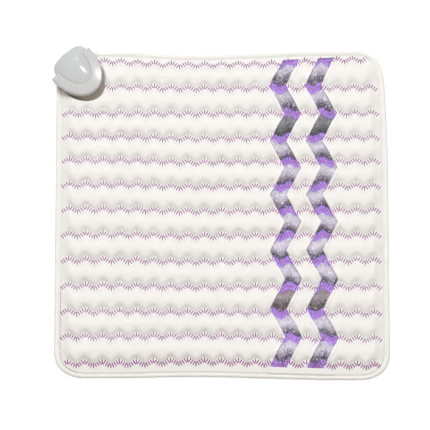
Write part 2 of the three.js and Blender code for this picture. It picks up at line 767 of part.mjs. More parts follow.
// A lead comes along in the wire's layer and turns up through the unit's floor
function risingLead(route, offset, detour = 0) {
  const foot = inMat(wireHoleMiddle, offset * leadSpacing, wireLevel);
  const approach = inMat(footLength + gap + detour, offset * leadApproach, wireLevel);
  const back = approach.clone().sub(foot).normalize();
  const steps = 4;
  const bend = Array.from({ length: steps + 1 }, (_, i) => {
    const angle = (i / steps) * (Math.PI / 2);
    const point = foot.clone().addScaledVector(back, leadBend * (1 - Math.sin(angle)));
    return point.setZ(wireLevel + leadBend * (1 - Math.cos(angle)));
  });
  return sweptTube([...route, approach, ...bend], leadDiameter / 2, 6);
}

// The mat
addMesh(part, "base_cover", sheet(innerHalf, innerRadius, 0, baseCoverThickness), baseFabric);
addMesh(part, "insulation_felt", sheet(innerHalf, innerRadius, feltBottom, feltThickness), felt);
const unitShadow = (margin, bottom, top) => {
  const side = footHalfWidth + margin;
  const back = boxBetween(at(-matCornerRadius, -side, bottom), at(margin, side, top));
  const front = skinned([
    unitOutline(side, footLength + margin, 0, bottom),
    unitOutline(side, footLength + margin, 0, top),
  ]);
  return joined(front, back).rotateZ(unitTurn).translate(unitPlace.x, unitPlace.y, 0);
};
const linerHalf = innerHalf - linerInset;
const linerRadius = innerRadius - linerInset;
const linerSheet = sheet(linerHalf, linerRadius, linerBottom, linerThickness);
addMesh(part, "inner_liner", cut(linerSheet, unitShadow(gap, 0, crownHeight)), linerFabric);
addMesh(part, "edge_piping", pipingLoop(), pipingFabric);

const evenHalf = innerHalf - evenPartInset;
const sideColumns = (y) => sideColumnShares.map((share) => sideEdge(y) + (evenHalf - sideEdge(y)) * share);
const leftColumns = (y) => [
  ...sideColumns(y).map((x) => -x),
  windowEdge(0, y) - weltWidth - gap / 2,
];
const rightColumns = (y) => [
  windowEdge(1, y) + windowWidth + weltWidth + gap / 2,
  ...sideColumns(y).reverse(),
];
const leftPanel = coverPiece(sideStations, leftColumns, 0, coverThickness);
addMesh(part, "cover_panel_left", cut(leftPanel, unitShadow(gap, 0, crownHeight)), coverFabric);
const middleStart = (y) => windowEdge(0, y) + windowWidth + weltWidth;
const middleWidth = windowSpacing - windowWidth - 2 * weltWidth;
const middlePanel = coverPiece(stripStations, stripColumns(middleStart, middleWidth), 0, coverThickness);
addMesh(part, "cover_panel_middle", middlePanel, coverFabric);
addMesh(part, "cover_panel_right", coverPiece(sideStations, rightColumns, 0, coverThickness), coverFabric);
for (let index = 0; index < 2; index++) {
  const label = index + 1;
  const leftWelt = (y) => windowEdge(index, y) - weltWidth;
  const rightWelt = (y) => windowEdge(index, y) + windowWidth;
  const filmColumns = stripColumns((y) => windowEdge(index, y), windowWidth);
  const film = coverPiece(stripStations, filmColumns, -filmSink, filmThickness);
  const weltThickness = coverThickness + weltRise;
  addMesh(part, "window_film_" + label, film, clearFilm);
  const leftBody = coverPiece(stripStations, stripColumns(leftWelt, weltWidth), weltRise, weltThickness);
  const rightBody = coverPiece(stripStations, stripColumns(rightWelt, weltWidth), weltRise, weltThickness);
  addMesh(part, "window_" + label + "_welt_left", leftBody, weltVinyl);
  addMesh(part, "window_" + label + "_welt_right", rightBody, weltVinyl);
}

// The stones of a channel, one closed bar that stays under the cover
const footOutline = unitOutline(footHalfWidth, footLength, 0, 0);
const unitReachX = Math.max(...footOutline.map((p) => inMat(p.x, p.y, 0).x)) + gap;
for (let channel = 0; channel < rowCount - 1; channel++) {
  const shares = [fillEndShare, ...stationShares.slice(1), 1 - fillEndShare];
  const level = (share) => {
    const from = [...stationShares, 1].filter((s) => s <= share).pop();
    const to = [...stationShares, 1].find((s) => s > share);
    const heightAt = (s) => coverHeight(0, rowY(channel) - Math.min(s, 1) * rowPitch);
    const mix = (share - from) / (to - from);
    const chord = heightAt(from) * (1 - mix) + heightAt(to) * mix;
    return Math.min(chord, heightAt(share)) - coverThickness - fillClearance;
  };
  const outline = shares.map((share) => ({ y: rowY(channel) - share * rowPitch, z: level(share) }));
  outline.push({ y: rowY(channel) - (1 - fillEndShare) * rowPitch, z: fillBottom });
  outline.push({ y: rowY(channel) - fillEndShare * rowPitch, z: fillBottom });
  const outer = channel === 0 || channel === rowCount - 2;
  const endX = innerHalf - (outer ? cornerFillInset : fillEndInset);
  const startX = channel < 2 ? unitReachX + stoneEndClearance : -endX;
  const ring = (x) => outline.map((p) => at(x, p.y, p.z));
  const name = "stone_fill_" + String(channel + 1).padStart(2, "0");
  addMesh(part, name, skinned([ring(startX), ring(endX)]), amethyst);
}

// The wire, its crimps and leads, the cut-off in the supply and the sensor between two runs
addMesh(part, "heating_wire", heatingWire(), wireJacket);
const flatPiece = (size, endX, y) =>
  boxBetween(at(endX - size.x, y - size.y / 2, wireBottom), at(endX, y + size.y / 2, wireBottom + size.z));
const crimp = (endX, y) =>
  barBetween(at(endX - crimpLength, y, wireLevel), at(endX, y, wireLevel), wireDiameter / 2, 8);
const supplyY = channelMiddle(0);
const returnY = channelMiddle(rowCount - 2);
const supplyCrimpEnd = wireStartInset - half - gap;
const cutoffEnd = supplyCrimpEnd - crimpLength - gap;
const returnCrimpEnd = -wireTurnX - gap;
const returnLeadX = -innerHalf + returnLeadInset;
const sensorLeadX = -innerHalf + sensorLeadInset;
const sensorX = sensorInset - half;
const sensorY = channelMiddle(sensorRun) - rowPitch / 2;
const belowUnitY = channelMiddle(1) - leadBend;
addMesh(part, "supply_crimp", crimp(supplyCrimpEnd, supplyY), sleeveTin);
addMesh(part, "thermal_cutoff", flatPiece(cutoffSize, cutoffEnd, supplyY), blackPlastic);
const supplyLeadX = cutoffEnd - cutoffSize.x - gap;
const supplyRoute = [supplyLeadX, supplyLeadX - leadBend].map((x) => at(x, supplyY, wireLevel));
addMesh(part, "supply_lead", risingLead(supplyRoute, 1), redJacket);
addMesh(part, "return_crimp", crimp(returnCrimpEnd, returnY), sleeveTin);
const returnRoute = [
  at(returnCrimpEnd - crimpLength - gap, returnY, wireLevel),
  at(returnLeadX + leadBend, returnY, wireLevel),
  at(returnLeadX, returnY + leadBend, wireLevel),
  at(returnLeadX, belowUnitY, wireLevel),
];
addMesh(part, "return_lead", risingLead(returnRoute, -1), wireJacket);
addMesh(part, "temperature_sensor", flatPiece(sensorSize, sensorX, sensorY), blackPlastic);
const sensorRoute = [
  at(sensorX - sensorSize.x - gap, sensorY, wireLevel),
  at(sensorLeadX + leadBend, sensorY, wireLevel),
  at(sensorLeadX, sensorY + leadBend, wireLevel),
  at(sensorLeadX, belowUnitY - leadBend, wireLevel),
  inMat(footLength + gap + leadSpacing, -leadApproach, wireLevel),
];
addMesh(part, "sensor_lead", risingLead(sensorRoute, 0, leadSpacing), rubber);

// The unit and its head
addMesh(unit, "clamp_plate", clampPlate(), innerPlastic);
addMesh(unit, "dock_lower_shell", lowerShell(), shellPlastic);
addMesh(unit, "dock_upper_shell", upperShell(), shellPlastic);
addMesh(unit, "dock_socket_tray", socketTray(), innerPlastic);
addMesh(unit, "dock_contact_block", contactBlock(), blackPlastic);
pinOffsets.forEach((v, i) => addMesh(unit, "contact_pin_" + (i + 1), contactPin(v), contactBrass));
dockScrewPlaces.forEach((p, i) =>
  addMesh(unit, "dock_screw_" + (i + 1), screw(p, plateBottom + gap, unitFloorTop + gap, screwHeadRadius),
    screwSteel),
);
const shells = headShells();
addMesh(unit, "head_lower_shell", shells.lower, headPlastic);
addMesh(unit, "head_upper_shell", shells.upper, headPlastic);
addMesh(unit, "head_contact_block", headContactBlock(), blackPlastic);
addMesh(unit, "head_circuit_board", headBoard(), boardLaminate);
addMesh(unit, "head_cord_gland", cordGland(), rubber);
const boardTop = headFloorTop + gap + boardThickness;
boardScrewPlaces.forEach((p, i) =>
  addMesh(unit, "board_screw_" + (i + 1), screw(p, boardScrewTip, boardTop + gap, boardScrewHeadRadius),
    screwSteel),
);

export default part;
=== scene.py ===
"""The looks of a stone-filled heating mat with a pull-out connector unit on one corner."""
import math

import bpy
import numpy as np
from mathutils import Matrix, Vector


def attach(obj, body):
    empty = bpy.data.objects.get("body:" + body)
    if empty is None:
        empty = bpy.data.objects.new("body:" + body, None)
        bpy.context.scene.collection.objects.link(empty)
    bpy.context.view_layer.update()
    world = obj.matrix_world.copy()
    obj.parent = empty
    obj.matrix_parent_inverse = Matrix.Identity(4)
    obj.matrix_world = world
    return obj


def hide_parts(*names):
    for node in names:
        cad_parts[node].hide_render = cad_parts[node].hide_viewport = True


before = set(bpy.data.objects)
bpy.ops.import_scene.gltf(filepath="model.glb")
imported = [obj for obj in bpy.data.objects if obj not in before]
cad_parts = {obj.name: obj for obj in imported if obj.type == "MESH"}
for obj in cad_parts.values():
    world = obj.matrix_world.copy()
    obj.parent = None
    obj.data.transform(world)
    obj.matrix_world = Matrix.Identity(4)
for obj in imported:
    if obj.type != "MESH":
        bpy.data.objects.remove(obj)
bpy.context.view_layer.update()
scene = bpy.context.scene

# Camera
# The mat is seen from above, a little from the side of its lower edge, through a long lens.
aim = Vector((-0.0088, 0.0038, 0))
camera_tilt = math.radians(76.6)
camera_distance = 5.9
towards_camera = Vector((0, -math.cos(camera_tilt), math.sin(camera_tilt)))
camera = bpy.data.objects.new("camera", bpy.data.cameras.new("camera"))
scene.collection.objects.link(camera)
camera.location = aim + camera_distance * towards_camera
camera.rotation_euler = towards_camera.to_track_quat("Z", "Y").to_euler()
camera.data.sensor_width = 36
camera.data.lens = 323
camera.data.clip_end = 60
scene.camera = camera

# Light
# A key soft box stands beyond the mat's upper edge and a wide fill hangs over it. A narrow glint
# lamp beyond the upper right and a white card beyond the upper edge show only in shiny surfaces,
# and a faintly warm sky fills the shade. Rays that miss everything meet plain white.
scene.view_settings.view_transform = "Standard"


def lamp(name, azimuth, rise, distance, width, height, power, *hidden_from):
    """An area lamp aimed at the mat, placed by its bearing from +Y towards +X and its rise."""
    data = bpy.data.lights.new(name, "AREA")
    data.shape = "RECTANGLE"
    data.size, data.size_y, data.energy = width, height, power
    body = bpy.data.objects.new(name, data)
    scene.collection.objects.link(body)
    bearing, rise = math.radians(azimuth), math.radians(rise)
    direction = Vector((math.sin(bearing) * math.cos(rise), math.cos(bearing) * math.cos(rise), math.sin(rise)))
    body.location = distance * direction
    body.rotation_euler = direction.to_track_quat("Z", "Y").to_euler()
    for rays in hidden_from:
        setattr(body, f"visible_{rays}", False)
    return body


key = lamp("key_soft_box", -6, 67, 4, 1.1, 0.8, 77, "glossy", "transmission")
key.data.color = (0.975, 0.988, 1.0)
lamp("glint", 46, 66, 3.9, 0.62, 0.17, 36, "diffuse", "transmission")
lamp("overhead_fill", 0, 86, 4, 5, 5, 82, "glossy")
lamp("white_card", 0, 34, 4, 0.8, 4.0, 12, "diffuse")


def added(tree, kind, inputs=None, **settings):
    """A new node with its settings and the constants on its inputs."""
    node = tree.nodes.new(kind)
    for label, value in settings.items():
        setattr(node, label, value)
    for label, value in (inputs or {}).items():
        node.inputs[label].default_value = value
    return node


def join(tree, *pairs):
    """Links pairs of sockets."""
    for source, target in pairs:
        tree.links.new(source, target)


def maths(tree, operation, first, second=None):
    """A Math node whose inputs are sockets or numbers."""
    node = added(tree, "ShaderNodeMath", operation=operation)
    for socket, value in zip(node.inputs, (first, second)):
        if isinstance(value, (int, float)):
            socket.default_value = value
        elif value is not None:
            tree.links.new(value, socket)
    return node.outputs[0]


def white_backdrop(tree, factor_socket):
    """Joins Light Path's camera, glossy and transmission rays to the factor of a mix."""
    rays = added(tree, "ShaderNodeLightPath").outputs
    seen = maths(tree, "MAXIMUM", rays["Is Camera Ray"], rays["Is Glossy Ray"])
    tree.links.new(maths(tree, "MAXIMUM", seen, rays["Is Transmission Ray"]), factor_socket)


world = bpy.data.worlds.new("studio")
scene.world = world
world.use_nodes = True
sky = world.node_tree
sky_light = sky.nodes["Background"]
sky_light.inputs["Color"].default_value = (1.0, 0.83, 0.63, 1)
sky_light.inputs["Strength"].default_value = 0.28
sky_white = added(sky, "ShaderNodeBackground", {"Color": (1, 1, 1, 1)})
sky_mix = added(sky, "ShaderNodeMixShader")
white_backdrop(sky, sky_mix.inputs["Fac"])
sky.links.new(sky_light.outputs[0], sky_mix.inputs[1])
sky.links.new(sky_white.outputs[0], sky_mix.inputs[2])
sky.links.new(sky_mix.outputs[0], sky.nodes["World Output"].inputs["Surface"])

# Floor
# A plain white sheet under the mat. It shows white to the camera and keeps the contact shadow.
floor_mesh = bpy.data.meshes.new("floor")
floor_half = 20
floor_mesh.from_pydata(
    [(x * floor_half, y * floor_half, 0) for x, y in ((-1, -1), (1, -1), (1, 1), (-1, 1))], [], [(0, 1, 2, 3)])
floor = bpy.data.objects.new("floor", floor_mesh)
floor.location.z = -0.0004
scene.collection.objects.link(floor)
floor_white = bpy.data.materials.new("floor_white")
floor_white.use_nodes = True
paper = floor_white.node_tree
paper.nodes.remove(paper.nodes["Principled BSDF"])
plain_white = added(paper, "ShaderNodeBsdfDiffuse", {"Color": (0.85, 0.85, 0.85, 1)})
shadow_white = added(paper, "ShaderNodeBsdfDiffuse", {"Color": (0.35, 0.345, 0.34, 1)})
own_white = added(paper, "ShaderNodeEmission", {"Strength": 0.80})
shown_white = added(paper, "ShaderNodeAddShader")
floor_mix = added(paper, "ShaderNodeMixShader")
paper.links.new(shadow_white.outputs[0], shown_white.inputs[0])
paper.links.new(own_white.outputs[0], shown_white.inputs[1])
white_backdrop(paper, floor_mix.inputs["Fac"])
paper.links.new(plain_white.outputs[0], floor_mix.inputs[1])
paper.links.new(shown_white.outputs[0], floor_mix.inputs[2])
paper.links.new(floor_mix.outputs[0], paper.nodes["Material Output"].inputs["Surface"])
floor_mesh.materials.append(floor_white)

# Cover panels
# Three panels of satin-laminated polyester, left, between and right of the two windows. They
# are sewn down along thirteen wavy rows and swell over the stones between two rows.
inner_half = 0.2467
inner_radius = 0.0377
first_row = 0.2375
row_pitch = 0.0388
row_count = 13
last_row = first_row - (row_count - 1) * row_pitch
rim_height = 0.0068
valley_height = 0.009
crest_height = 0.0156
edge_fade = 0.020
sewn_half_width = 0.0048
swell_fullness = 0.78
seam_width, seam_low, seam_rise = 0.0035, 0.0038, 0.0032
lip_height, lip_reach = 0.011, 0.0048
wave_swing = 0.0036
wave_point = 0.08
wave_period = 0.02576
wave_peak = -0.0013
wave_reach = 0.0058
wave_fade = 0.0130
window_width = 0.025
window_spacing = 0.0555
window_x = 0.084
zigzag_start = 0.2454
zigzag_half_period = 0.0433
zigzag_swing = 0.023
welt_width = 0.0055
unit_place = (-0.2308, 0.2371)
unit_turn = math.radians(-47.6)
foot_half_width = 0.0367
foot_length = 0.0656
foot_power = 2.27
foot_height = 0.0073

# How far the cloth lies off its drawn place, at three X and fifteen Y
lie_x = (-0.156, -0.049, 0.188)
lie_y = (-0.254, -0.2281, -0.1893, -0.1505, -0.1117, -0.0729, -0.0341, 0.0047, 0.0435, 0.0823, 0.1211,
         0.1599, 0.1987, 0.2375, 0.254)
lie_offsets = np.array([
    (1.6, 3.2, -1.5), (-3.6, -0.5, -6.4), (-0.9, 0.3, -4.0), (-1.0, -2.1, -3.2), (0.4, -1.6, -1.0),
    (1.7, -0.8, 1.2), (2.8, 0.4, 2.0), (3.5, 0.7, 1.9), (3.4, 0.1, 1.2), (3.2, -0.1, 1.6), (1.5, -1.4, 0.5),
    (-0.5, -0.7, 0.4), (3.3, 0.8, 1.9), (5.3, 0.0, 7.3), (5.5, 0.3, 7.3)]) / 1000
top_row_x = (-0.165, -0.139, -0.113, -0.087, -0.061, -0.035, 0.017, 0.043, 0.067, 0.110, 0.156, 0.187, 0.214)
top_row_off = np.array((0, -1.4, -1.5, -0.9, 0, -0.4, -0.8, -1.5, -2.7, -1.2, -0.3, 0.9, 1.5)) / 1000
right_edge_y = (0.088, 0.150, 0.213, 0.254)
right_edge_x = (0.0, -0.0015, -0.0047, -0.0055)


def eased(share):
    """A share from 0 to 1 with soft ends."""
    share = np.clip(share, 0, 1)
    return share * share * (3 - 2 * share)


lie_shift = (0.0024, 0.0018)


def lie(points):
    """Moves points of the drawn mat to where the cloth lies."""
    moved = np.array(points, float)
    x, y = moved[..., 0].copy(), moved[..., 1].copy()
    columns = [np.interp(y, lie_y, lie_offsets[:, k]) for k in range(3)]
    first = eased((x - lie_x[0]) / (lie_x[1] - lie_x[0]))
    second = eased((x - lie_x[1]) / (lie_x[2] - lie_x[1]))
    off = columns[0] + (columns[1] - columns[0]) * first + (columns[2] - columns[1]) * second
    off = off + np.interp(x, top_row_x, top_row_off) * eased((y - 0.212) / 0.02) * eased((0.249 - y) / 0.01)
    moved[..., 1] += off + lie_shift[1]
    pulled = np.interp(y, right_edge_y, right_edge_x)
    moved[..., 0] += lie_shift[0] + pulled * eased((x - 0.1) / 0.15) - 0.0011 * eased((-x - 0.15) / 0.1)
    return moved


def soft_noise(x, y, size_x, size_y, seed):
    """Smooth noise from -1 to 1 with features of the given sizes."""
    table = np.random.default_rng(seed).uniform(-1, 1, (257, 257))
    gx, gy = x / size_x + 1000, y / size_y + 1000
    ix, iy = np.floor(gx).astype(int), np.floor(gy).astype(int)
    fx, fy = eased(gx - ix), eased(gy - iy)
    ix, iy = ix % 256, iy % 256
    top = table[iy, ix] * (1 - fx) + table[iy, ix + 1] * fx
    low = table[iy + 1, ix] * (1 - fx) + table[iy + 1, ix + 1] * fx
    return top * (1 - fy) + low * fy


def wave(x):
    """How far a sewn row swings off its straight line."""
    turn = 2 * math.pi * (x - wave_peak) / wave_period
    return wave_swing * (np.cos(turn) + wave_point * np.cos(3 * turn)) / (1 + wave_point)


def edge_distance(x, y):
    """Distance inwards from the cover's edge, with its round corners."""
    qx = np.abs(x) - (inner_half - inner_radius)
    qy = np.abs(y) - (inner_half - inner_radius)
    corner = np.hypot(np.maximum(qx, 0), np.maximum(qy, 0))
    return inner_radius - corner - np.minimum(np.maximum(qx, qy), 0)


def side_edge(y):
    """Half the cover's width at a place along Y."""
    depth = np.maximum(np.abs(y) - (inner_half - inner_radius), 0)
    return inner_half - inner_radius + np.sqrt(np.maximum(inner_radius**2 - depth**2, 0))


def on_unit(x, y):
    """Where a point of the drawn mat comes to lie, on the unit's own axes."""
    placed = lie(np.stack([x, y, 0 * x], -1))
    dx, dy = placed[..., 0] - unit_place[0], placed[..., 1] - unit_place[1]
    c, s = math.cos(unit_turn), math.sin(unit_turn)
    return dx * c + dy * s, dy * c - dx * s


def off_foot(x, y):
    """Distance outside the unit's foot, negative under it."""
    u, v = on_unit(x, y)
    across = np.abs(v) / foot_half_width
    reach = np.where(u >= 0, (np.maximum(u, 0) / foot_length) ** 2.4, (u / 0.02) ** 2)
    size = np.maximum(reach + across**2, 1e-6) ** 0.44
    far = np.hypot(u, v)
    return far - far / size


def swell(x, y):
    """0 in a sewn row, rising to 1 midway between two rows."""
    straight = (first_row - y) / row_pitch
    from_row = np.abs(straight - np.clip(np.round(straight), 0, row_count - 1)) * row_pitch
    near = (first_row - (y - wave(x) * (1 - eased((from_row - wave_reach) / wave_fade)))) / row_pitch
    inside = (near > 0) & (near < row_count - 1)
    share = near - np.floor(near)
    band = sewn_half_width / row_pitch
    across = np.clip((share - band) / (1 - 2 * band), 0, 1)
    return np.where(inside, (4 * across * (1 - across)) ** swell_fullness, 0)


def cover_height(x, y):
    """Height of the cover's outer face."""
    full = swell(x, y)
    inward = edge_distance(x, y)
    height = valley_height + (crest_height - valley_height) * full
    height = rim_height + (height - rim_height) * eased(inward / edge_fade)
    settle = 0.0007 * soft_noise(x, y, 0.045, 0.03, 3) + 0.0003 * soft_noise(x, y, 0.011, 0.009, 4)
    pucker = 0.00045 * soft_noise(x, y, 0.0048, 0.016, 5) * (1 - full) * np.minimum(full * 4, 1)
    height = height + (settle * full + pucker) * eased(inward / 0.012)
    seam = seam_low + seam_rise * np.sin(np.clip(inward / seam_width, 0, 1) * math.pi / 2)
    height = np.where(inward < seam_width, np.minimum(height, seam), height)
    from_lip = 1 - np.clip((off_foot(x, y) + 0.0004) / lip_reach, 0, 1)
    return np.minimum(height, foot_height - 0.0002 + lip_height * (1 - from_lip ** 2))


def zigzag(y):
    """How far the windows swing off their straight line."""
    turn = (zigzag_start - y) / zigzag_half_period
    step = np.floor(turn)
    side = np.where(step % 2 == 0, 1, -1)
    return zigzag_swing / 2 * (side - 2 * side * (turn - step))


def window_edge(index, y):
    """X of a window's left edge."""
    return window_x + index * window_spacing + zigzag(y)


def lattice(left, right, columns, rows, height, low=-inner_half, high=inner_half):
    """Rows of points between two side lines, from the upper edge down."""
    ys = np.linspace(high, low, rows)
    start, end = left(ys), right(ys)
    x = start[:, None] + (end - start)[:, None] * np.linspace(0, 1, columns)
    y = np.repeat(ys[:, None], columns, 1)
    return np.stack([x, y, height(x, y)], -1)


def lattice_faces(rows, columns, first=0, up=True):
    """Quads of a lattice, facing up or down."""
    j, i = np.meshgrid(np.arange(rows - 1), np.arange(columns - 1), indexing="ij")
    a = first + j * columns + i
    quads = np.stack([a, a + columns, a + columns + 1, a + 1], -1).reshape(-1, 4)
    return quads if up else quads[:, ::-1]


def rim_faces(rows, columns, under):
    """Joins the border of an upper lattice to that of the one under it."""
    top = [i for i in range(columns)]
    right = [j * columns + columns - 1 for j in range(1, rows)]
    low = [(rows - 1) * columns + i for i in range(columns - 2, -1, -1)]
    left = [j * columns for j in range(rows - 2, 0, -1)]
    border = np.array(top + right + low + left)
    following = np.roll(border, -1)
    return np.stack([border, following, following + under, border + under], -1)


def mesh_piece(name, points, faces, material, sharp_angle=None):
    """An object at the origin from points in metres, smooth but for edges past an angle."""
    mesh = bpy.data.meshes.new(name)
    mesh.from_pydata(np.asarray(points, float).reshape(-1, 3).tolist(), [], [list(map(int, f)) for f in faces])
    mesh.polygons.foreach_set("use_smooth", [True] * len(mesh.polygons))
    mesh.materials.append(material)
    mesh.validate()
    if sharp_angle is not None:
        mesh.set_sharp_from_angle(angle=math.radians(sharp_angle))
    piece = bpy.data.objects.new(name, mesh)
    scene.collection.objects.link(piece)
    return piece


def belongs(piece, body, slot, *nodes):
    """Rides on a body and stands for CAD nodes. The slot argument is not used."""
    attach(piece, body)
    if nodes:
        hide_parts(*nodes)
    return piece


def closed_sheet(name, upper, lower, material, sharp_angle=50):
    """A closed piece between an upper and a lower lattice."""
    rows, columns = upper.shape[:2]
    count = rows * columns
    faces = np.concatenate([lattice_faces(rows, columns), lattice_faces(rows, columns, count, up=False),
                            rim_faces(rows, columns, count)[:, ::-1]])
    points = lie(np.concatenate([upper.reshape(-1, 3), lower.reshape(-1, 3)]))
    return mesh_piece(name, points, faces, material, sharp_angle)


def slab(name, upper, thickness, material):
    return closed_sheet(name, upper, upper - (0, 0, thickness), material)


def group_of(name, inputs, outputs):
    """A shader node group with float inputs and outputs."""
    tree = bpy.data.node_groups.new(name, "ShaderNodeTree")
    for label, value in inputs.items():
        tree.interface.new_socket(label, in_out="INPUT", socket_type="NodeSocketFloat").default_value = value
    for label in outputs:
        tree.interface.new_socket(label, in_out="OUTPUT", socket_type="NodeSocketFloat")
    return tree, tree.nodes.new("NodeGroupInput"), tree.nodes.new("NodeGroupOutput")


# Plain weave: crossing threads that pass over and under each other
weave, weave_in, weave_out = group_of("weave", {"Threads": 15000.0}, ("Height",))
weave_place = added(weave, "ShaderNodeTexCoord")
weave_axes = added(weave, "ShaderNodeSeparateXYZ")
weave.links.new(weave_place.outputs["Object"], weave_axes.inputs[0])
warp_thread = maths(weave, "SINE", maths(weave, "MULTIPLY", weave_axes.outputs["X"], weave_in.outputs["Threads"]))
weft_thread = maths(weave, "SINE", maths(weave, "MULTIPLY", weave_axes.outputs["Y"], weave_in.outputs["Threads"]))
weave.links.new(maths(weave, "MULTIPLY", warp_thread, weft_thread), weave_out.inputs["Height"])

# Mottle: soft cloudy variation between two values
mottle, mottle_in, mottle_out = group_of("mottle", {"Scale": 60.0, "Low": 0.0, "High": 1.0}, ("Value",))
mottle_place = added(mottle, "ShaderNodeTexCoord")
mottle_noise = added(mottle, "ShaderNodeTexNoise", {"Detail": 3})
mottle_range = added(mottle, "ShaderNodeMapRange", {"From Min": 0.3, "From Max": 0.7})
mottle.links.new(mottle_place.outputs["Object"], mottle_noise.inputs["Vector"])
mottle.links.new(mottle_in.outputs["Scale"], mottle_noise.inputs["Scale"])
mottle.links.new(mottle_noise.outputs[0], mottle_range.inputs["Value"])
mottle.links.new(mottle_in.outputs["Low"], mottle_range.inputs["To Min"])
mottle.links.new(mottle_in.outputs["High"], mottle_range.inputs["To Max"])
mottle.links.new(mottle_range.outputs[0], mottle_out.inputs["Value"])


def new_material(name, roughness, **plain):
    """A Principled material, with constants set on its own sockets."""
    material = bpy.data.materials.new(name)
    material.use_nodes = True
    shader = material.node_tree.nodes["Principled BSDF"]
    shader.inputs["Roughness"].default_value = roughness
    for label, value in plain.items():
        shader.inputs[label.replace("_", " ")].default_value = value
    return material, material.node_tree, shader


def grouped(tree, group, **values):
    """The output of a node that runs a shader node group."""
    return added(tree, "ShaderNodeGroup", values, node_tree=group).outputs[0]


def two_tone(tree, factor, dark, light, socket):
    """A colour between two, by a factor socket, joined to a shader's socket."""
    mix = added(tree, "ShaderNodeMix", {"A": (*dark, 1), "B": (*light, 1)}, data_type="RGBA")
    tree.links.new(factor, mix.inputs["Factor"])
    tree.links.new(mix.outputs["Result"], socket)
    return mix


def bumped(tree, shader, height, distance, strength=1.0):
    """Joins a height to a shader's normal."""
    bump = added(tree, "ShaderNodeBump", {"Distance": distance, "Strength": strength})
    tree.links.new(height, bump.inputs["Height"])
    tree.links.new(bump.outputs[0], shader.inputs["Normal"])


def uneven_material(name, dark, light, roughness, cloud_scale, gloss_scale, less, more, **plain):
    """Two close tones in soft clouds, and a gloss that varies between two bounds."""
    material, tree, shader = new_material(name, roughness, **plain)
    clouds = grouped(tree, mottle, Scale=cloud_scale, Low=0.0, High=1.0)
    two_tone(tree, clouds, dark, light, shader.inputs["Base Color"])
    gloss = grouped(tree, mottle, Scale=gloss_scale, Low=less, High=more)
    tree.links.new(gloss, shader.inputs["Roughness"])
    return material, tree, shader


def cloth_material(name, dark, light, roughness, threads, depth, scale=45.0, **plain):
    """Woven cloth with its threads as bump."""
    material, tree, shader = uneven_material(name, dark, light, roughness, scale, scale * 4, roughness - 0.07,
                                             roughness + 0.07, **plain)
    bumped(tree, shader, grouped(tree, weave, Threads=threads), depth)
    return material


cover_fabric = cloth_material("cover_fabric", (0.866, 0.874, 0.876), (0.894, 0.903, 0.908), 0.52, 16000.0, 0.00004,
                              Sheen_Weight=0.12)


hem_upper = first_row + 0.0044
hem_lower = last_row - 0.0055
hem_rise = 0.0012
hem_rows, hem_columns, hem_overlap = 14, 120, 0.003
fold_drop, fold_width = 0.0007, 0.0008
mouth_cover, foot_overlap = 0.0015, 0.002


def hem(high, low):
    """Points of a turned strip of the cover that closes both windows at the mat's edge."""
    strip = lattice(lambda y: window_edge(0, y) - welt_width - hem_overlap,
                    lambda y: window_edge(1, y) + window_width + welt_width + hem_overlap, hem_columns, hem_rows,
                    lambda x, y: cover_height(x, y) + hem_rise, low, high)
    fold = np.abs(strip[..., 1] - (low if low > 0 else high))
    strip[..., 2] -= fold_drop * (1 - np.clip(fold / fold_width, 0, 1)) ** 2
    return strip.reshape(-1, 3)


def panel(name, left, right, columns, rows, node, hems=()):
    """A panel of the cover between two side lines, left out under the unit's foot."""
    points = lattice(left, right, columns, rows, cover_height).reshape(-1, 3)
    quads = lattice_faces(rows, columns)
    middle = points[quads].mean(1)
    before_mouth = on_unit(middle[:, 0], middle[:, 1])[0] < mouth_cover
    quads = quads[(off_foot(middle[:, 0], middle[:, 1]) > -foot_overlap) | before_mouth]
    for high, low in hems:
        quads = np.concatenate([quads, lattice_faces(hem_rows, hem_columns, len(points))])
        points = np.concatenate([points, hem(high, low)])
    used = np.unique(quads)
    renumber = np.zeros(len(points), int)
    renumber[used] = np.arange(len(used))
    piece = mesh_piece(name, lie(points[used]), renumber[quads], cover_fabric)
    return belongs(piece, "mat", "cover_fabric", node)


tuck = 0.0006
left_panel = panel("quilted_cover_left", lambda y: -side_edge(y),
                   lambda y: window_edge(0, y) - welt_width + tuck, 214, 430, "cover_panel_left")
middle_panel = panel("quilted_cover_middle", lambda y: window_edge(0, y) + window_width + welt_width - tuck,
                     lambda y: window_edge(1, y) - welt_width + tuck, 18, 390, "cover_panel_middle",
                     ((inner_half, hem_upper), (hem_lower, -inner_half)))
right_panel = panel("quilted_cover_right", lambda y: window_edge(1, y) + window_width + welt_width - tuck,
                    side_edge, 54, 340, "cover_panel_right")

# Window backing
# A thin violet liner over the heating wire. It is caught in the rows, where it shows violet
# through the windows, and lies under the stones between them.
liner_half, liner_inset = 0.2440, 0.0027
violet_reach, violet_slope = 0.0078, 0.0022
liner_depth, liner_low = 0.00175, 0.0064
liner_fabric = cloth_material("liner_fabric", (0.20, 0.08, 0.49), (0.35, 0.17, 0.72), 0.45, 14000.0, 0.00004, 220.0)


def row_distance(x, y):
    """Distance along Y from the nearest sewn row."""
    place = (first_row - (y - wave(x))) / row_pitch
    nearest = np.clip(np.round(place), 0, row_count - 1)
    return np.abs(place - nearest) * row_pitch


def liner_height(x, y):
    """Low under the stones, and lifted to the cover in a row."""
    lifted = cover_height(x, y) - liner_depth
    base = np.minimum(liner_low, lifted)
    return base + (np.maximum(lifted, liner_low) - base) * eased((violet_reach - row_distance(x, y)) / violet_slope)


liner = slab("window_backing", lattice(lambda y: liner_inset - side_edge(y), lambda y: side_edge(y) - liner_inset,
                                       165, 270, liner_height, -liner_half, liner_half), 0.0004, liner_fabric)
belongs(liner, "mat", "liner_fabric", "inner_liner")

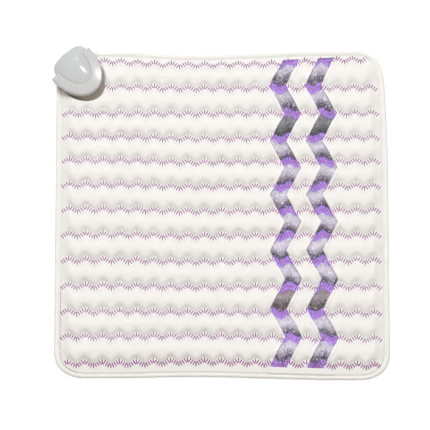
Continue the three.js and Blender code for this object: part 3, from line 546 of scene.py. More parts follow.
# Window films
# Two clear, glossy vinyl strips with zigzag edges. They bulge over the stones, wrinkle a
# little, and are sewn down with the cover.
film_thickness = 0.0007
film_sink = 0.0004
film_gap = 0.0001


def film_height(x, y):
    """A little under the cover's face, with shallow wrinkles."""
    full = swell(x, y)
    lumps = 0.00005 * soft_noise(x, y, 0.0040, 0.0022, 11) + 0.00014 * soft_noise(x, y, 0.013, 0.0045, 12)
    return cover_height(x, y) - film_sink + lumps * np.minimum(full * 1.6, 1)


clear_film, film_tree, film_shader = new_material(
    "clear_film", 0.15, Specular_IOR_Level=0.03, Transmission_Weight=1.0, IOR=1.5, Base_Color=(0.985, 0.98, 0.99, 1))
film_clouds = grouped(film_tree, mottle, Scale=160.0, Low=0.12, High=0.22)
film_tree.links.new(film_clouds, film_shader.inputs["Roughness"])
film_path = added(film_tree, "ShaderNodeLightPath")
film_shadow = added(film_tree, "ShaderNodeBsdfTransparent", {"Color": (0.985, 0.98, 0.99, 1)})
film_mix = added(film_tree, "ShaderNodeMixShader")
film_tree.links.new(film_path.outputs["Is Shadow Ray"], film_mix.inputs["Fac"])
film_tree.links.new(film_shader.outputs[0], film_mix.inputs[1])
film_tree.links.new(film_shadow.outputs[0], film_mix.inputs[2])
film_tree.links.new(film_mix.outputs[0], film_tree.nodes["Material Output"].inputs["Surface"])

for index in (0, 1):
    strip = lattice(lambda y: window_edge(index, y) + film_gap,
                    lambda y: window_edge(index, y) + window_width - film_gap, 30, 440, film_height)
    film = slab(f"clear_window_{index + 1}", strip, film_thickness, clear_film)
    belongs(film, "mat", "window_film", f"window_film_{index + 1}")

# Welts
# Glossy white vinyl strips folded over the edges of the windows, with a sewing line in each.
welt_rise = 0.0011
welt_profile = ((0.0, -0.0007), (0.0, 0.0004), (0.07, 0.0009), (0.2, 0.0013), (0.42, 0.0012), (0.5, 0.0008),
                (0.58, 0.0012), (0.8, 0.0013), (0.93, 0.0009), (1.0, 0.0004), (1.0, -0.0007))
welt_vinyl, welt_tree, welt_shader = uneven_material(
    "welt_vinyl", (0.90, 0.90, 0.915), (0.94, 0.94, 0.952), 0.2, 90.0, 240.0, 0.14, 0.28, Coat_Weight=0.3)
bumped(welt_tree, welt_shader, grouped(welt_tree, mottle, Scale=320.0, Low=0.0, High=1.0), 0.0003)


def welt(name, start, node):
    """A strip with its profile's upper side along one edge of a window."""
    ys = np.linspace(inner_half, -inner_half, 420)
    rows = []
    for share, rise in welt_profile:
        x = start(ys) + share * welt_width
        z = cover_height(x, ys) + rise
        rows.append(np.stack([x, ys, z], -1))
    points = np.stack(rows, 1)
    count, wide = points.shape[:2]
    faces = list(lattice_faces(count, wide))
    for j in range(count - 1):
        faces.append((j * wide + wide - 1, (j + 1) * wide + wide - 1, (j + 1) * wide, j * wide))
    faces.append(list(range(wide)))
    faces.append([(count - 1) * wide + i for i in range(wide - 1, -1, -1)])
    piece = mesh_piece(name, lie(points.reshape(-1, 3)), faces, welt_vinyl, 70)
    return belongs(piece, "mat", "welt_vinyl", node)


for index in (0, 1):
    welt(f"welt_{index + 1}_left", lambda y: window_edge(index, y) - welt_width, f"window_{index + 1}_welt_left")
    welt(f"welt_{index + 1}_right", lambda y: window_edge(index, y) + window_width, f"window_{index + 1}_welt_right")

# Stones
# Crushed violet and grey stones fill the twelve channels. Each channel has its own kind of
# stone: most are purple, one is dark green-grey and one brown.
stone_kind = (0.0, 0.1, 1.0, 0.0, 0.15, 0.1, 0.0, 0.2, 0.1, 0.55, 0.0, 0.1)
# Painted reflection: per channel, how far down from its upper row the stones are made lighter, standing in for the
# film's sheen.
sheen_reach = (0.74, 0.83, 0.72, 0.94, 0.92, 0.95, 0.97, 0.97, 1.0, 0.80, 0.96, 0.84)
crushed_stone, stone_tree, stone_shader = new_material("crushed_stone", 0.55, Specular_IOR_Level=0.15)
stone_tone = added(stone_tree, "ShaderNodeAttribute", attribute_name="tone")
stone_sort = added(stone_tree, "ShaderNodeAttribute", attribute_name="kind")
stone_colours = []
for stops in (
    ((0.0, (0.020, 0.012, 0.031)), (0.4, (0.072, 0.043, 0.10)), (0.62, (0.17, 0.118, 0.205)),
     (0.82, (0.34, 0.28, 0.37)), (1.0, (0.62, 0.57, 0.67))),
    ((0.0, (0.012, 0.006, 0.009)), (0.45, (0.060, 0.027, 0.036)), (0.75, (0.14, 0.078, 0.090)),
     (0.92, (0.30, 0.25, 0.24)), (1.0, (0.55, 0.50, 0.48))),
    ((0.0, (0.008, 0.009, 0.009)), (0.5, (0.028, 0.031, 0.031)), (0.8, (0.075, 0.082, 0.080)),
     (0.95, (0.16, 0.17, 0.17)), (1.0, (0.35, 0.37, 0.37))),
):
    ramp = added(stone_tree, "ShaderNodeValToRGB")
    while len(ramp.color_ramp.elements) < len(stops):
        ramp.color_ramp.elements.new(0.5)
    for element, (place, colour) in zip(ramp.color_ramp.elements, stops):
        element.position = place
        element.color = (*colour, 1)
    stone_tree.links.new(stone_tone.outputs["Fac"], ramp.inputs["Fac"])
    stone_colours.append(ramp.outputs["Color"])
# Painted reflection: each kind of stone gets a lighter tint that is mixed in near the channel's upper row.
painted_sheen_side = added(stone_tree, "ShaderNodeAttribute", attribute_name="painted_sheen")
for k, painted_sheen in enumerate(((0.545, 0.505, 0.575), (0.262, 0.20, 0.232), (0.19, 0.18, 0.20))):
    sheen_tones = two_tone(stone_tree, stone_tone.outputs["Fac"], tuple(0.76 * c for c in painted_sheen),
                      tuple(1.22 * c for c in painted_sheen), stone_shader.inputs["Base Color"])
    sheen_mixed = added(stone_tree, "ShaderNodeMix", data_type="RGBA")
    stone_tree.links.new(painted_sheen_side.outputs["Fac"], sheen_mixed.inputs["Factor"])
    stone_tree.links.new(stone_colours[k], sheen_mixed.inputs["A"])
    stone_tree.links.new(sheen_tones.outputs["Result"], sheen_mixed.inputs["B"])
    stone_colours[k] = sheen_mixed.outputs["Result"]
for factor_from, factor_to, later in ((0.2, 0.5, 1), (0.6, 0.95, 2)):
    share = added(stone_tree, "ShaderNodeMapRange", {"From Min": factor_from, "From Max": factor_to})
    stone_tree.links.new(stone_sort.outputs["Fac"], share.inputs["Value"])
    blend = added(stone_tree, "ShaderNodeMix", data_type="RGBA")
    stone_tree.links.new(share.outputs[0], blend.inputs["Factor"])
    stone_tree.links.new(stone_colours[0], blend.inputs["A"])
    stone_tree.links.new(stone_colours[later], blend.inputs["B"])
    stone_colours[0] = blend.outputs["Result"]
stone_tree.links.new(stone_colours[0], stone_shader.inputs["Base Color"])
stone_gloss = grouped(stone_tree, mottle, Scale=900.0, Low=0.45, High=0.7)
stone_tree.links.new(stone_gloss, stone_shader.inputs["Roughness"])
stone_grain = grouped(stone_tree, mottle, Scale=1500.0, Low=0.0, High=1.0)
bumped(stone_tree, stone_shader, stone_grain, 0.0002)


stone_depth, stone_lumps = 0.0034, 0.0003


def stone_top(x, y):
    """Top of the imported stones, just under the cover."""
    return cover_height(x, y) - stone_depth + stone_lumps * soft_noise(x, y, 0.004, 0.004, 21)


def float_attribute(mesh, name, values):
    """Stores a number on each point of a mesh."""
    mesh.attributes.new(name, "FLOAT", "POINT").data.foreach_set("value", np.asarray(values, np.float32).ravel())


stone_margin = 0.0058
stone_floor = 0.0068
least_stone_depth = 0.0003
bed_end, corner_bed_end, unit_bed_end = 0.2217, 0.1857, 0.176
bed_wave = 0.9


def painted_sheen_share(share, channel):
    """Painted reflection: the stones near a channel's upper row are made lighter, standing in for the film's sheen
    where it faces the light.
    """
    return 0.95 * eased((sheen_reach[channel] - share) / 0.6)


def bed_row(x, share, channel):
    """Where a share of the way from a channel's upper row to its lower one lies."""
    upper_row = first_row - channel * row_pitch
    return upper_row + wave(x) * bed_wave - stone_margin - share * (row_pitch - 2 * stone_margin)


for channel in range(row_count - 1):
    long_end = bed_end if 0 < channel < row_count - 2 else corner_bed_end
    west = -unit_bed_end if channel < 2 else -long_end
    xs = np.linspace(west, long_end, int((long_end - west) / 0.0032))
    shares = np.linspace(0, 1, 13)
    x = np.repeat(xs[:, None], len(shares), 1)
    y = bed_row(x, shares, channel)
    top = np.stack([x, y, np.maximum(stone_top(x, y), stone_floor + least_stone_depth)], -1)
    bed = closed_sheet(f"stones_{channel + 1:02d}", top, np.stack([x, y, 0 * x + stone_floor], -1), crushed_stone, 60)
    float_attribute(bed.data, "tone", np.random.default_rng(channel).uniform(0.0, 0.6, 2 * x.size))
    float_attribute(bed.data, "kind", np.full(2 * x.size, stone_kind[channel]))
    float_attribute(bed.data, "painted_sheen", painted_sheen_share(np.tile(shares, 2 * len(xs)), channel))
    belongs(bed, "mat", "crushed_stone", f"stone_fill_{channel + 1:02d}")


def geometry_tree(name, numbers, wholes):
    """A geometry node tree with named inputs, a material input, and one geometry in and out."""
    tree = bpy.data.node_groups.new(name, "GeometryNodeTree")
    tree.interface.new_socket("Geometry", in_out="INPUT", socket_type="NodeSocketGeometry")
    for label, value in numbers.items():
        tree.interface.new_socket(label, in_out="INPUT", socket_type="NodeSocketFloat").default_value = value
    for label, value in wholes.items():
        tree.interface.new_socket(label, in_out="INPUT", socket_type="NodeSocketInt").default_value = value
    tree.interface.new_socket("Material", in_out="INPUT", socket_type="NodeSocketMaterial")
    tree.interface.new_socket("Geometry", in_out="OUTPUT", socket_type="NodeSocketGeometry")
    return tree, tree.nodes.new("NodeGroupInput"), tree.nodes.new("NodeGroupOutput")


def grown(name, base, tree, **values):
    """Runs a geometry node tree on a base mesh and gives the result as a plain mesh piece."""
    holder = bpy.data.objects.new(name, base)
    scene.collection.objects.link(holder)
    modifier = holder.modifiers.new(name, "NODES")
    modifier.node_group = tree
    for item in tree.interface.items_tree:
        if item.item_type == "SOCKET" and item.in_out == "INPUT" and item.name in values:
            modifier[item.identifier] = values[item.name]
    bpy.context.view_layer.update()
    result = bpy.data.meshes.new_from_object(holder.evaluated_get(bpy.context.evaluated_depsgraph_get()))
    holder.modifiers.remove(modifier)
    holder.data = result
    return holder


chip_tree, chip_in, chip_out = geometry_tree(
    "scattered_chips", {"Least Distance": 0.0017, "Most Per Area": 900000.0, "Least Size": 0.0007,
                        "Largest Size": 0.0019}, {"Seed": 7})
chip_spread = added(chip_tree, "GeometryNodeDistributePointsOnFaces", distribute_method="POISSON")
chip_shape = added(chip_tree, "GeometryNodeMeshIcoSphere", {"Radius": 1, "Subdivisions": 1})
chip_turn = added(chip_tree, "FunctionNodeRandomValue", {"Max": (6.283, 6.283, 6.283)}, data_type="FLOAT_VECTOR")
chip_rotation = added(chip_tree, "FunctionNodeEulerToRotation")
chip_size = added(chip_tree, "FunctionNodeRandomValue", data_type="FLOAT")
chip_shares = added(chip_tree, "FunctionNodeRandomValue", {"Min": (0.55, 0.6, 0.5), "Max": (1.15, 1.1, 0.9)},
                    data_type="FLOAT_VECTOR")
chip_scale = added(chip_tree, "ShaderNodeVectorMath", operation="SCALE")
chip_place = added(chip_tree, "GeometryNodeInstanceOnPoints")
chip_tone = added(chip_tree, "FunctionNodeRandomValue", data_type="FLOAT")
chip_store = added(chip_tree, "GeometryNodeStoreNamedAttribute", {"Name": "tone"}, data_type="FLOAT",
                   domain="INSTANCE")
chip_real = added(chip_tree, "GeometryNodeRealizeInstances")
chip_paint = added(chip_tree, "GeometryNodeSetMaterial")


def value_output(node):
    """The one enabled output of a Random Value node."""
    return next(s for s in node.outputs if s.enabled)


def enabled_input(node, label):
    """The input of that name that is in use."""
    return next(s for s in node.inputs if s.enabled and s.name == label)


def seeded(tree, seed, *nodes):
    """Gives each Random Value node a seed of its own, counted on from the tree's seed."""
    for order, node in enumerate(nodes):
        tree.links.new(maths(tree, "ADD", seed, 10 * order + 1), enabled_input(node, "Seed"))


seeded(chip_tree, chip_in.outputs["Seed"], chip_turn, chip_size, chip_shares, chip_tone)
join(
    chip_tree,
    (chip_in.outputs["Geometry"], chip_spread.inputs["Mesh"]),
    (chip_in.outputs["Least Distance"], chip_spread.inputs["Distance Min"]),
    (chip_in.outputs["Most Per Area"], chip_spread.inputs["Density Max"]),
    (chip_in.outputs["Seed"], chip_spread.inputs["Seed"]),
    (chip_spread.outputs["Points"], chip_place.inputs["Points"]),
    (chip_shape.outputs["Mesh"], chip_place.inputs["Instance"]),
    (value_output(chip_turn), chip_rotation.inputs[0]),
    (chip_rotation.outputs[0], chip_place.inputs["Rotation"]),
    (chip_in.outputs["Least Size"], enabled_input(chip_size, "Min")),
    (chip_in.outputs["Largest Size"], enabled_input(chip_size, "Max")),
    (value_output(chip_shares), chip_scale.inputs[0]),
    (value_output(chip_size), chip_scale.inputs["Scale"]),
    (chip_scale.outputs[0], chip_place.inputs["Scale"]),
    (chip_place.outputs[0], chip_store.inputs["Geometry"]),
    (value_output(chip_tone), enabled_input(chip_store, "Value")),
    (chip_store.outputs[0], chip_real.inputs[0]),
    (chip_real.outputs[0], chip_paint.inputs["Geometry"]),
    (chip_in.outputs["Material"], chip_paint.inputs["Material"]),
    (chip_paint.outputs[0], chip_out.inputs[0]),
)

chip_rows, chip_columns = 14, 12
chip_margin, chip_sink = 0.0012, 0.0016
bed_points, bed_faces, bed_kinds, bed_sheen_shares = [], [], [], []
for index in (0, 1):
    for channel in range(row_count - 1):
        shares = np.linspace(0, 1, chip_rows)[:, None]
        across = np.linspace(0, 1, chip_columns)[None, :]
        y = first_row - channel * row_pitch - stone_margin - shares * (row_pitch - 2 * stone_margin) + 0 * across
        # A row's swing and the window's slant depend on each other, so the place is found in rounds
        for _ in range(3):
            x = window_edge(index, y) + chip_margin + across * (window_width - 2 * chip_margin)
            y = bed_row(x, shares, channel)
        z = film_height(x, y) - film_thickness - chip_sink
        start = len(bed_points)
        bed_points.extend(lie(np.stack([x, y, z], -1)).reshape(-1, 3).tolist())
        bed_faces.extend(lattice_faces(chip_rows, chip_columns, start).tolist())
        bed_kinds.extend([stone_kind[channel]] * x.size)
        bed_sheen_shares.extend(painted_sheen_share(shares + 0 * across, channel).ravel().tolist())
bed_mesh = bpy.data.meshes.new("chip_bed")
bed_mesh.from_pydata(bed_points, [], bed_faces)
float_attribute(bed_mesh, "kind", bed_kinds)
float_attribute(bed_mesh, "painted_sheen", bed_sheen_shares)
chips = grown("stone_chips", bed_mesh, chip_tree, Seed=7, Material=crushed_stone)
belongs(chips, "mat", "crushed_stone")

# Quilting thread
# A violet decorative stitch sews the rows through every layer: short strokes side by side,
# square to the wavy line. Each stroke is painted dark at its upper end and lighter at its lower
# end, a painted shade where the stroke dips under the swell above.
stitch_thread, thread_tree, thread_shader = new_material("stitch_thread", 0.42, Sheen_Weight=0.3)
thread_along = added(thread_tree, "ShaderNodeAttribute", attribute_name="along")
thread_tone = added(thread_tree, "ShaderNodeAttribute", attribute_name="tone")
thread_ramp = added(thread_tree, "ShaderNodeMapRange", {"From Min": -1, "From Max": 1})
thread_tree.links.new(thread_along.outputs["Fac"], thread_ramp.inputs["Value"])
# Painted shade: darker towards each stroke's upper end, mixed with a random tone.
shade = maths(thread_tree, "ADD", maths(thread_tree, "MULTIPLY", thread_ramp.outputs[0], 0.62),
              maths(thread_tree, "MULTIPLY", thread_tone.outputs["Fac"], 0.38))
two_tone(thread_tree, shade, (0.52, 0.135, 0.50), (0.11, 0.009, 0.105), thread_shader.inputs["Base Color"])
thread_twist = grouped(thread_tree, mottle, Scale=2500.0, Low=0.0, High=1.0)
bumped(thread_tree, thread_shader, thread_twist, 0.00015)

stitch_tree, stitch_in, stitch_out = geometry_tree(
    "thread_strokes", {"Length": 0.0080, "Width": 0.0016, "Height": 0.0009, "Unevenness": 0.06}, {"Seed": 3})
stitch_run = added(stitch_tree, "GeometryNodeInputNamedAttribute", {"Name": "run"}, data_type="FLOAT_VECTOR")
stitch_shape = added(stitch_tree, "GeometryNodeMeshUVSphere", {"Segments": 6, "Rings": 5, "Radius": 1})
stitch_upright = added(stitch_tree, "GeometryNodeTransform", {"Rotation": (math.radians(90), 0, 0)})
stitch_blunt = added(stitch_tree, "GeometryNodeSetPosition")
stitch_round = added(stitch_tree, "GeometryNodeInputPosition")
stitch_parts = added(stitch_tree, "ShaderNodeSeparateXYZ")
stitch_joined = added(stitch_tree, "ShaderNodeCombineXYZ")
stitch_end = maths(stitch_tree, "POWER", maths(stitch_tree, "ABSOLUTE", stitch_parts.outputs["Y"]), 0.6)
stitch_end = maths(stitch_tree, "MULTIPLY", stitch_end, maths(stitch_tree, "SIGN", stitch_parts.outputs["Y"]))
stitch_position = added(stitch_tree, "GeometryNodeInputPosition")
stitch_axes = added(stitch_tree, "ShaderNodeSeparateXYZ")
stitch_along = added(stitch_tree, "GeometryNodeStoreNamedAttribute", {"Name": "along"}, data_type="FLOAT",
                     domain="POINT")
stitch_place = added(stitch_tree, "GeometryNodeInstanceOnPoints")
stitch_shake = added(stitch_tree, "FunctionNodeRandomValue", {"Min": (-1, -1, 0), "Max": (1, 1, 0)},
                     data_type="FLOAT_VECTOR")
stitch_shaken = added(stitch_tree, "ShaderNodeVectorMath", operation="MULTIPLY_ADD")
stitch_uneven = added(stitch_tree, "ShaderNodeCombineXYZ")
stitch_turn = added(stitch_tree, "FunctionNodeAxesToRotation", {"Primary Axis": (0, 0, 1)}, primary_axis="Z",
                    secondary_axis="X")
stitch_lengths = added(stitch_tree, "FunctionNodeRandomValue", data_type="FLOAT")
enabled_input(stitch_lengths, "Min").default_value = 0.42
enabled_input(stitch_lengths, "Max").default_value = 0.52
stitch_sizes = added(stitch_tree, "ShaderNodeCombineXYZ")
stitch_tone = added(stitch_tree, "FunctionNodeRandomValue", data_type="FLOAT")
stitch_store = added(stitch_tree, "GeometryNodeStoreNamedAttribute", {"Name": "tone"}, data_type="FLOAT",
                     domain="INSTANCE")
stitch_real = added(stitch_tree, "GeometryNodeRealizeInstances")
stitch_smooth = added(stitch_tree, "GeometryNodeSetShadeSmooth")
stitch_paint = added(stitch_tree, "GeometryNodeSetMaterial")
seeded(stitch_tree, stitch_in.outputs["Seed"], stitch_shake, stitch_lengths, stitch_tone)
half_width = maths(stitch_tree, "MULTIPLY", stitch_in.outputs["Width"], 0.5)
half_height = maths(stitch_tree, "MULTIPLY", stitch_in.outputs["Height"], 0.5)
half_length = maths(stitch_tree, "MULTIPLY", stitch_in.outputs["Length"], value_output(stitch_lengths))
join(
    stitch_tree,
    (stitch_in.outputs["Geometry"], stitch_place.inputs["Points"]),
    (stitch_shape.outputs["Mesh"], stitch_upright.inputs["Geometry"]),
    (stitch_upright.outputs[0], stitch_blunt.inputs["Geometry"]),
    (stitch_round.outputs[0], stitch_parts.inputs[0]),
    (stitch_parts.outputs["X"], stitch_joined.inputs["X"]),
    (stitch_end, stitch_joined.inputs["Y"]),
    (stitch_parts.outputs["Z"], stitch_joined.inputs["Z"]),
    (stitch_joined.outputs[0], stitch_blunt.inputs["Position"]),
    (stitch_blunt.outputs[0], stitch_along.inputs["Geometry"]),
    (stitch_position.outputs[0], stitch_axes.inputs[0]),
    (stitch_axes.outputs["Y"], enabled_input(stitch_along, "Value")),
    (stitch_along.outputs[0], stitch_place.inputs["Instance"]),
    (value_output(stitch_shake), stitch_shaken.inputs[0]),
    (stitch_in.outputs["Unevenness"], stitch_uneven.inputs["X"]),
    (stitch_in.outputs["Unevenness"], stitch_uneven.inputs["Y"]),
    (stitch_uneven.outputs[0], stitch_shaken.inputs[1]),
    (stitch_run.outputs[0], stitch_shaken.inputs[2]),
    (stitch_shaken.outputs[0], stitch_turn.inputs["Secondary Axis"]),
    (stitch_turn.outputs[0], stitch_place.inputs["Rotation"]),
    (half_width, stitch_sizes.inputs["X"]),
    (half_length, stitch_sizes.inputs["Y"]),
    (half_height, stitch_sizes.inputs["Z"]),
    (stitch_sizes.outputs[0], stitch_place.inputs["Scale"]),
    (stitch_place.outputs[0], stitch_store.inputs["Geometry"]),
    (value_output(stitch_tone), enabled_input(stitch_store, "Value")),
    (stitch_store.outputs[0], stitch_real.inputs[0]),
    (stitch_real.outputs[0], stitch_smooth.inputs["Geometry"]),
    (stitch_smooth.outputs[0], stitch_paint.inputs["Geometry"]),
    (stitch_in.outputs["Material"], stitch_paint.inputs["Material"]),
    (stitch_paint.outputs[0], stitch_out.inputs[0]),
)


def sewn_height(x, y):
    """Top of whatever lies uppermost on a row: cover, welt or film."""
    z = cover_height(x, y)
    for index in (0, 1):
        start = window_edge(index, y)
        z = np.where((x > start) & (x < start + window_width), z - film_sink, z)
        for side in (start - welt_width, start + window_width):
            z = np.where((x > side) & (x < side + welt_width), z + welt_rise, z)
    hemmed = (np.abs(x - window_x - 0.040) < 0.062) & ((y > hem_upper - 0.001) | (y < hem_lower + 0.001))
    return np.where(hemmed, cover_height(x, y) + hem_rise, z)


stroke_lean = 1.05
stroke_lift = 0.00035
foot_clearance, edge_clearance = 0.0012, 0.0035


def thread_paths(name, paths):
    """A mesh of open lines with the direction of each point's run."""
    points, edges, runs = [], [], []
    for path in paths:
        path = lie(path)
        run = np.gradient(path, axis=0)
        run[:, 1] *= stroke_lean
        run[:, 2] = 0
        run /= np.linalg.norm(run, axis=1)[:, None]
        start = len(points)
        points.extend(path.tolist())
        runs.extend(run.tolist())
        edges.extend((start + i, start + i + 1) for i in range(len(path) - 1))
    mesh = bpy.data.meshes.new(name)
    mesh.from_pydata(points, edges, [])
    mesh.attributes.new("run", "FLOAT_VECTOR", "POINT").data.foreach_set("vector", np.array(runs, np.float32).ravel())
    return mesh


row_paths = []
for row in range(row_count):
    x = wave_peak + wave_period / 8 * np.arange(-76, 76)
    y = first_row - row * row_pitch + wave(x)
    keep = (off_foot(x, y) > foot_clearance) & (edge_distance(x, y) > edge_clearance)
    row_paths.append(np.stack([x, y, sewn_height(x, y) + stroke_lift], -1)[keep])
row_strokes = grown("row_stitches", thread_paths("row_paths", row_paths[:-1]), stitch_tree, Seed=3,
                    Material=stitch_thread)
belongs(row_strokes, "mat", "stitch_thread")
last_strokes = grown("last_row_stitches", thread_paths("last_row_path", row_paths[-1:]), stitch_tree, Seed=4,
                     Length=0.0084, Width=0.0020, Height=0.0011, Material=stitch_thread)
belongs(last_strokes, "mat", "stitch_thread")

# Edge thread
# A running stitch of the same thread shows beside the piping at the lower left.
edge_run, edge_middle, edge_radius = -0.2448, -0.209, 0.0358
edge_line = [(edge_run, y) for y in np.arange(-0.112, -0.2085, -0.0036)]
edge_line += [(edge_middle - edge_radius * math.cos(a), edge_middle - edge_radius * math.sin(a))
              for a in np.arange(0.08, 1.25, 0.1)]
edge_line = np.array(edge_line)
edge_path = np.column_stack([edge_line, cover_height(edge_line[:, 0], edge_line[:, 1]) + 0.0001])
edge_strokes = grown("edge_stitches", thread_paths("edge_path", [edge_path]), stitch_tree,
                     Length=0.0007, Width=0.0028, Height=0.0006, Unevenness=0.03, Seed=5, Material=stitch_thread)
belongs(edge_strokes, "mat", "stitch_thread")

# Piping
# A round cord in a folded strip of the cover's cloth, sewn in all round the mat's edge. The
# strip gathers a little on the corners, and its seam lies in the groove beside the cover.
mat_half = 0.254
corner_radius = 0.045
piping_radius = 0.0035
seam_tail, tail_spread = 0.0013, 0.3
gather_depth, gather_turn = 0.00013, 2.1
piping_unevenness = 0.00018
piping_fabric = cloth_material("piping_fabric", (0.875, 0.875, 0.868), (0.92, 0.92, 0.918), 0.5, 13000.0, 0.00005,
                               Sheen_Weight=0.15)
path_radius = corner_radius - piping_radius
centres, outs, bends = [], [], []
for quarter in range(4):
    middle = (quarter + 0.5) * math.pi / 2
    corner = np.array([math.copysign(mat_half - corner_radius, math.cos(middle)),
                       math.copysign(mat_half - corner_radius, math.sin(middle))])
    for a in np.linspace(0, 1, 44):
        angle = (quarter + a) * math.pi / 2
        out = np.array([math.cos(angle), math.sin(angle)])
        centres.append(corner + out * path_radius)
        outs.append(out)
        bends.append(1.0)
    along = np.array([-out[1], out[0]])
    length = 2 * (mat_half - corner_radius)
    for step in np.linspace(0, length, 210)[1:-1]:
        centres.append(corner + out * path_radius + along * step)
        outs.append(out)
        bends.append(0.0)
centres, outs, bends = np.array(centres), np.array(outs), np.array(bends)
sides = 22
turns = (np.arange(sides) + 0.5) / sides * 2 * math.pi
tail = seam_tail * np.exp(-((turns - math.pi) / tail_spread) ** 2)
order, turn = np.meshgrid(np.arange(len(centres)), turns, indexing="ij")
gather = gather_depth * bends[:, None] * np.sin(order * gather_turn + 0.6 * np.cos(turn))
uneven = piping_unevenness * soft_noise(order * 0.0023, turn, 0.012, 1.5, 31)
radius = piping_radius + tail[None, :] + gather + uneven
ring_points = np.zeros((len(centres), sides, 3))
for axis in (0, 1):
    ring_points[..., axis] = centres[:, None, axis] + outs[:, None, axis] * radius * np.cos(turn)
ring_points[..., 2] = np.maximum(piping_radius + radius * np.sin(turn), 0.0)
piping_faces = []
for k in range(len(centres)):
    for i in range(sides):
        a, b = k * sides + i, k * sides + (i + 1) % sides
        c, d = ((k + 1) % len(centres)) * sides + (i + 1) % sides, ((k + 1) % len(centres)) * sides + i
        piping_faces.append((a, d, c, b))
piping = mesh_piece("piping_cord", lie(ring_points.reshape(-1, 3)), piping_faces, piping_fabric)
belongs(piping, "mat", "piping_fabric", "edge_piping")

# Base cover
# The matt underside cloth, flat on whatever the mat lies on, with a shallow groove where each
# row is sewn through.
base_thickness, groove_depth = 0.0012, 0.0005
base_fabric = cloth_material("base_fabric", (0.74, 0.72, 0.68), (0.80, 0.78, 0.74), 0.75, 9000.0, 0.0001,
                             Sheen_Weight=0.2)
base_upper = lattice(lambda y: -side_edge(y), side_edge, 150, 320, lambda x, y: 0 * x + base_thickness)
base_under = base_upper.copy()
base_x, base_y = base_upper[..., 0], base_upper[..., 1]
groove = groove_depth * eased((0.005 - row_distance(base_x, base_y)) / 0.004)
base_under[..., 2] = groove * eased(edge_distance(base_x, base_y) / 0.006)
base = closed_sheet("underside_cloth", base_upper, base_under, base_fabric, 60)
belongs(base, "mat", "base_fabric", "base_cover")

# Dock
# The light grey plastic unit clasps the mat's corner. Its lower shell flares to a foot and its
# upper shell rounds over to the pocket of the head. Both are injection moulded and polished.
shell_wall = 0.0022
parting = 0.0200
crown = 0.0308
rim_half_width, rim_length, rim_power = 0.0379, 0.0580, 2.36
head_half_width, head_length = 0.0237, 0.0397
slit = 0.0003


def plastic_material(name, dark, light, roughness, **plain):
    """Moulded plastic: a faint tone drift, small changes of gloss and a fine skin."""
    material, tree, shader = uneven_material(name, dark, light, roughness, 35.0, 180.0, max(roughness - 0.05, 0.05),
                                             roughness + 0.05, **plain)
    bumped(tree, shader, grouped(tree, mottle, Scale=2600.0, Low=0.0, High=1.0), 0.000002)
    return material


shell_plastic = plastic_material("shell_plastic", (0.55, 0.57, 0.597), (0.58, 0.60, 0.627), 0.15, Coat_Weight=0.3)
# Painted shade: the lower shell is given a dark warm grey that stands in for the shade on its side wall, which is the
# same light grey plastic as the upper shell.
shell_lower_painted_shade = plastic_material("shell_lower_painted_shade", (0.30, 0.265, 0.22), (0.34, 0.305, 0.255), 0.3)
head_plastic = plastic_material("head_plastic", (0.54, 0.565, 0.595), (0.565, 0.59, 0.62), 0.15, Coat_Weight=0.3)

outline_count = 97


def outline(half_width, length, level, start=0.0, power=2.6):
    """The unit's plan at one level: a flat cut at its start and a round tip."""
    a = np.linspace(-math.pi / 2, math.pi / 2, outline_count)
    u = start + (length - start) * np.clip(np.cos(a), 0, 1) ** (2 / power)
    return np.stack([u, half_width * np.sin(a), np.full(outline_count, level)], -1)


def in_mat(points):
    """Points on the unit's own axes, placed on the mat."""
    points = np.asarray(points, float)
    c, s = math.cos(unit_turn), math.sin(unit_turn)
    return np.stack([unit_place[0] + points[..., 0] * c - points[..., 1] * s,
                     unit_place[1] + points[..., 0] * s + points[..., 1] * c, points[..., 2]], -1)


def ring_faces(rings, count, closed_ring=True, loop=False):
    """Quads between following rings of equal point counts."""
    faces = []
    spans = rings if loop else rings - 1
    for k in range(spans):
        low, high = k * count, ((k + 1) % rings) * count
        for i in range(count if closed_ring else count - 1):
            j = (i + 1) % count
            faces.append((low + i, low + j, high + j, high + i))
    return faces


def curve_through(values, shares):
    """Smooth values at the given shares of a list of stations."""
    stations = np.linspace(0, 1, len(values))
    values = np.asarray(values, float)
    slopes = np.gradient(values, stations)
    found = []
    for share in shares:
        k = min(int(share * (len(values) - 1)), len(values) - 2)
        h = stations[k + 1] - stations[k]
        t = (share - stations[k]) / h
        found.append((2 * t**3 - 3 * t**2 + 1) * values[k] + (t**3 - 2 * t**2 + t) * h * slopes[k]
                     + (3 * t**2 - 2 * t**3) * values[k + 1] + (t**3 - t**2) * h * slopes[k + 1])
    return np.array(found)


def carved(piece, *cutters):
    """Cuts closed meshes out of a piece and keeps the result as its mesh."""
    for cutter in cutters:
        modifier = piece.modifiers.new("cut", "BOOLEAN")
        modifier.operation = "DIFFERENCE"
        modifier.solver = "EXACT"
        modifier.object = cutter
        bpy.context.view_layer.update()
        result = bpy.data.meshes.new_from_object(piece.evaluated_get(bpy.context.evaluated_depsgraph_get()))
        piece.modifiers.remove(modifier)
        piece.data = result
        bpy.data.objects.remove(cutter)
    piece.data.set_sharp_from_angle(angle=math.radians(38))
    return piece


def cutting_box(low, high, material):
    """A box to cut with, on the unit's own axes."""
    corners = [(x, y, z) for x in (low[0], high[0]) for y in (low[1], high[1]) for z in (low[2], high[2])]
    faces = [(0, 1, 3, 2), (4, 6, 7, 5), (0, 4, 5, 1), (2, 3, 7, 6), (0, 2, 6, 4), (1, 5, 7, 3)]
    return mesh_piece("cutter", in_mat(corners), faces, material)


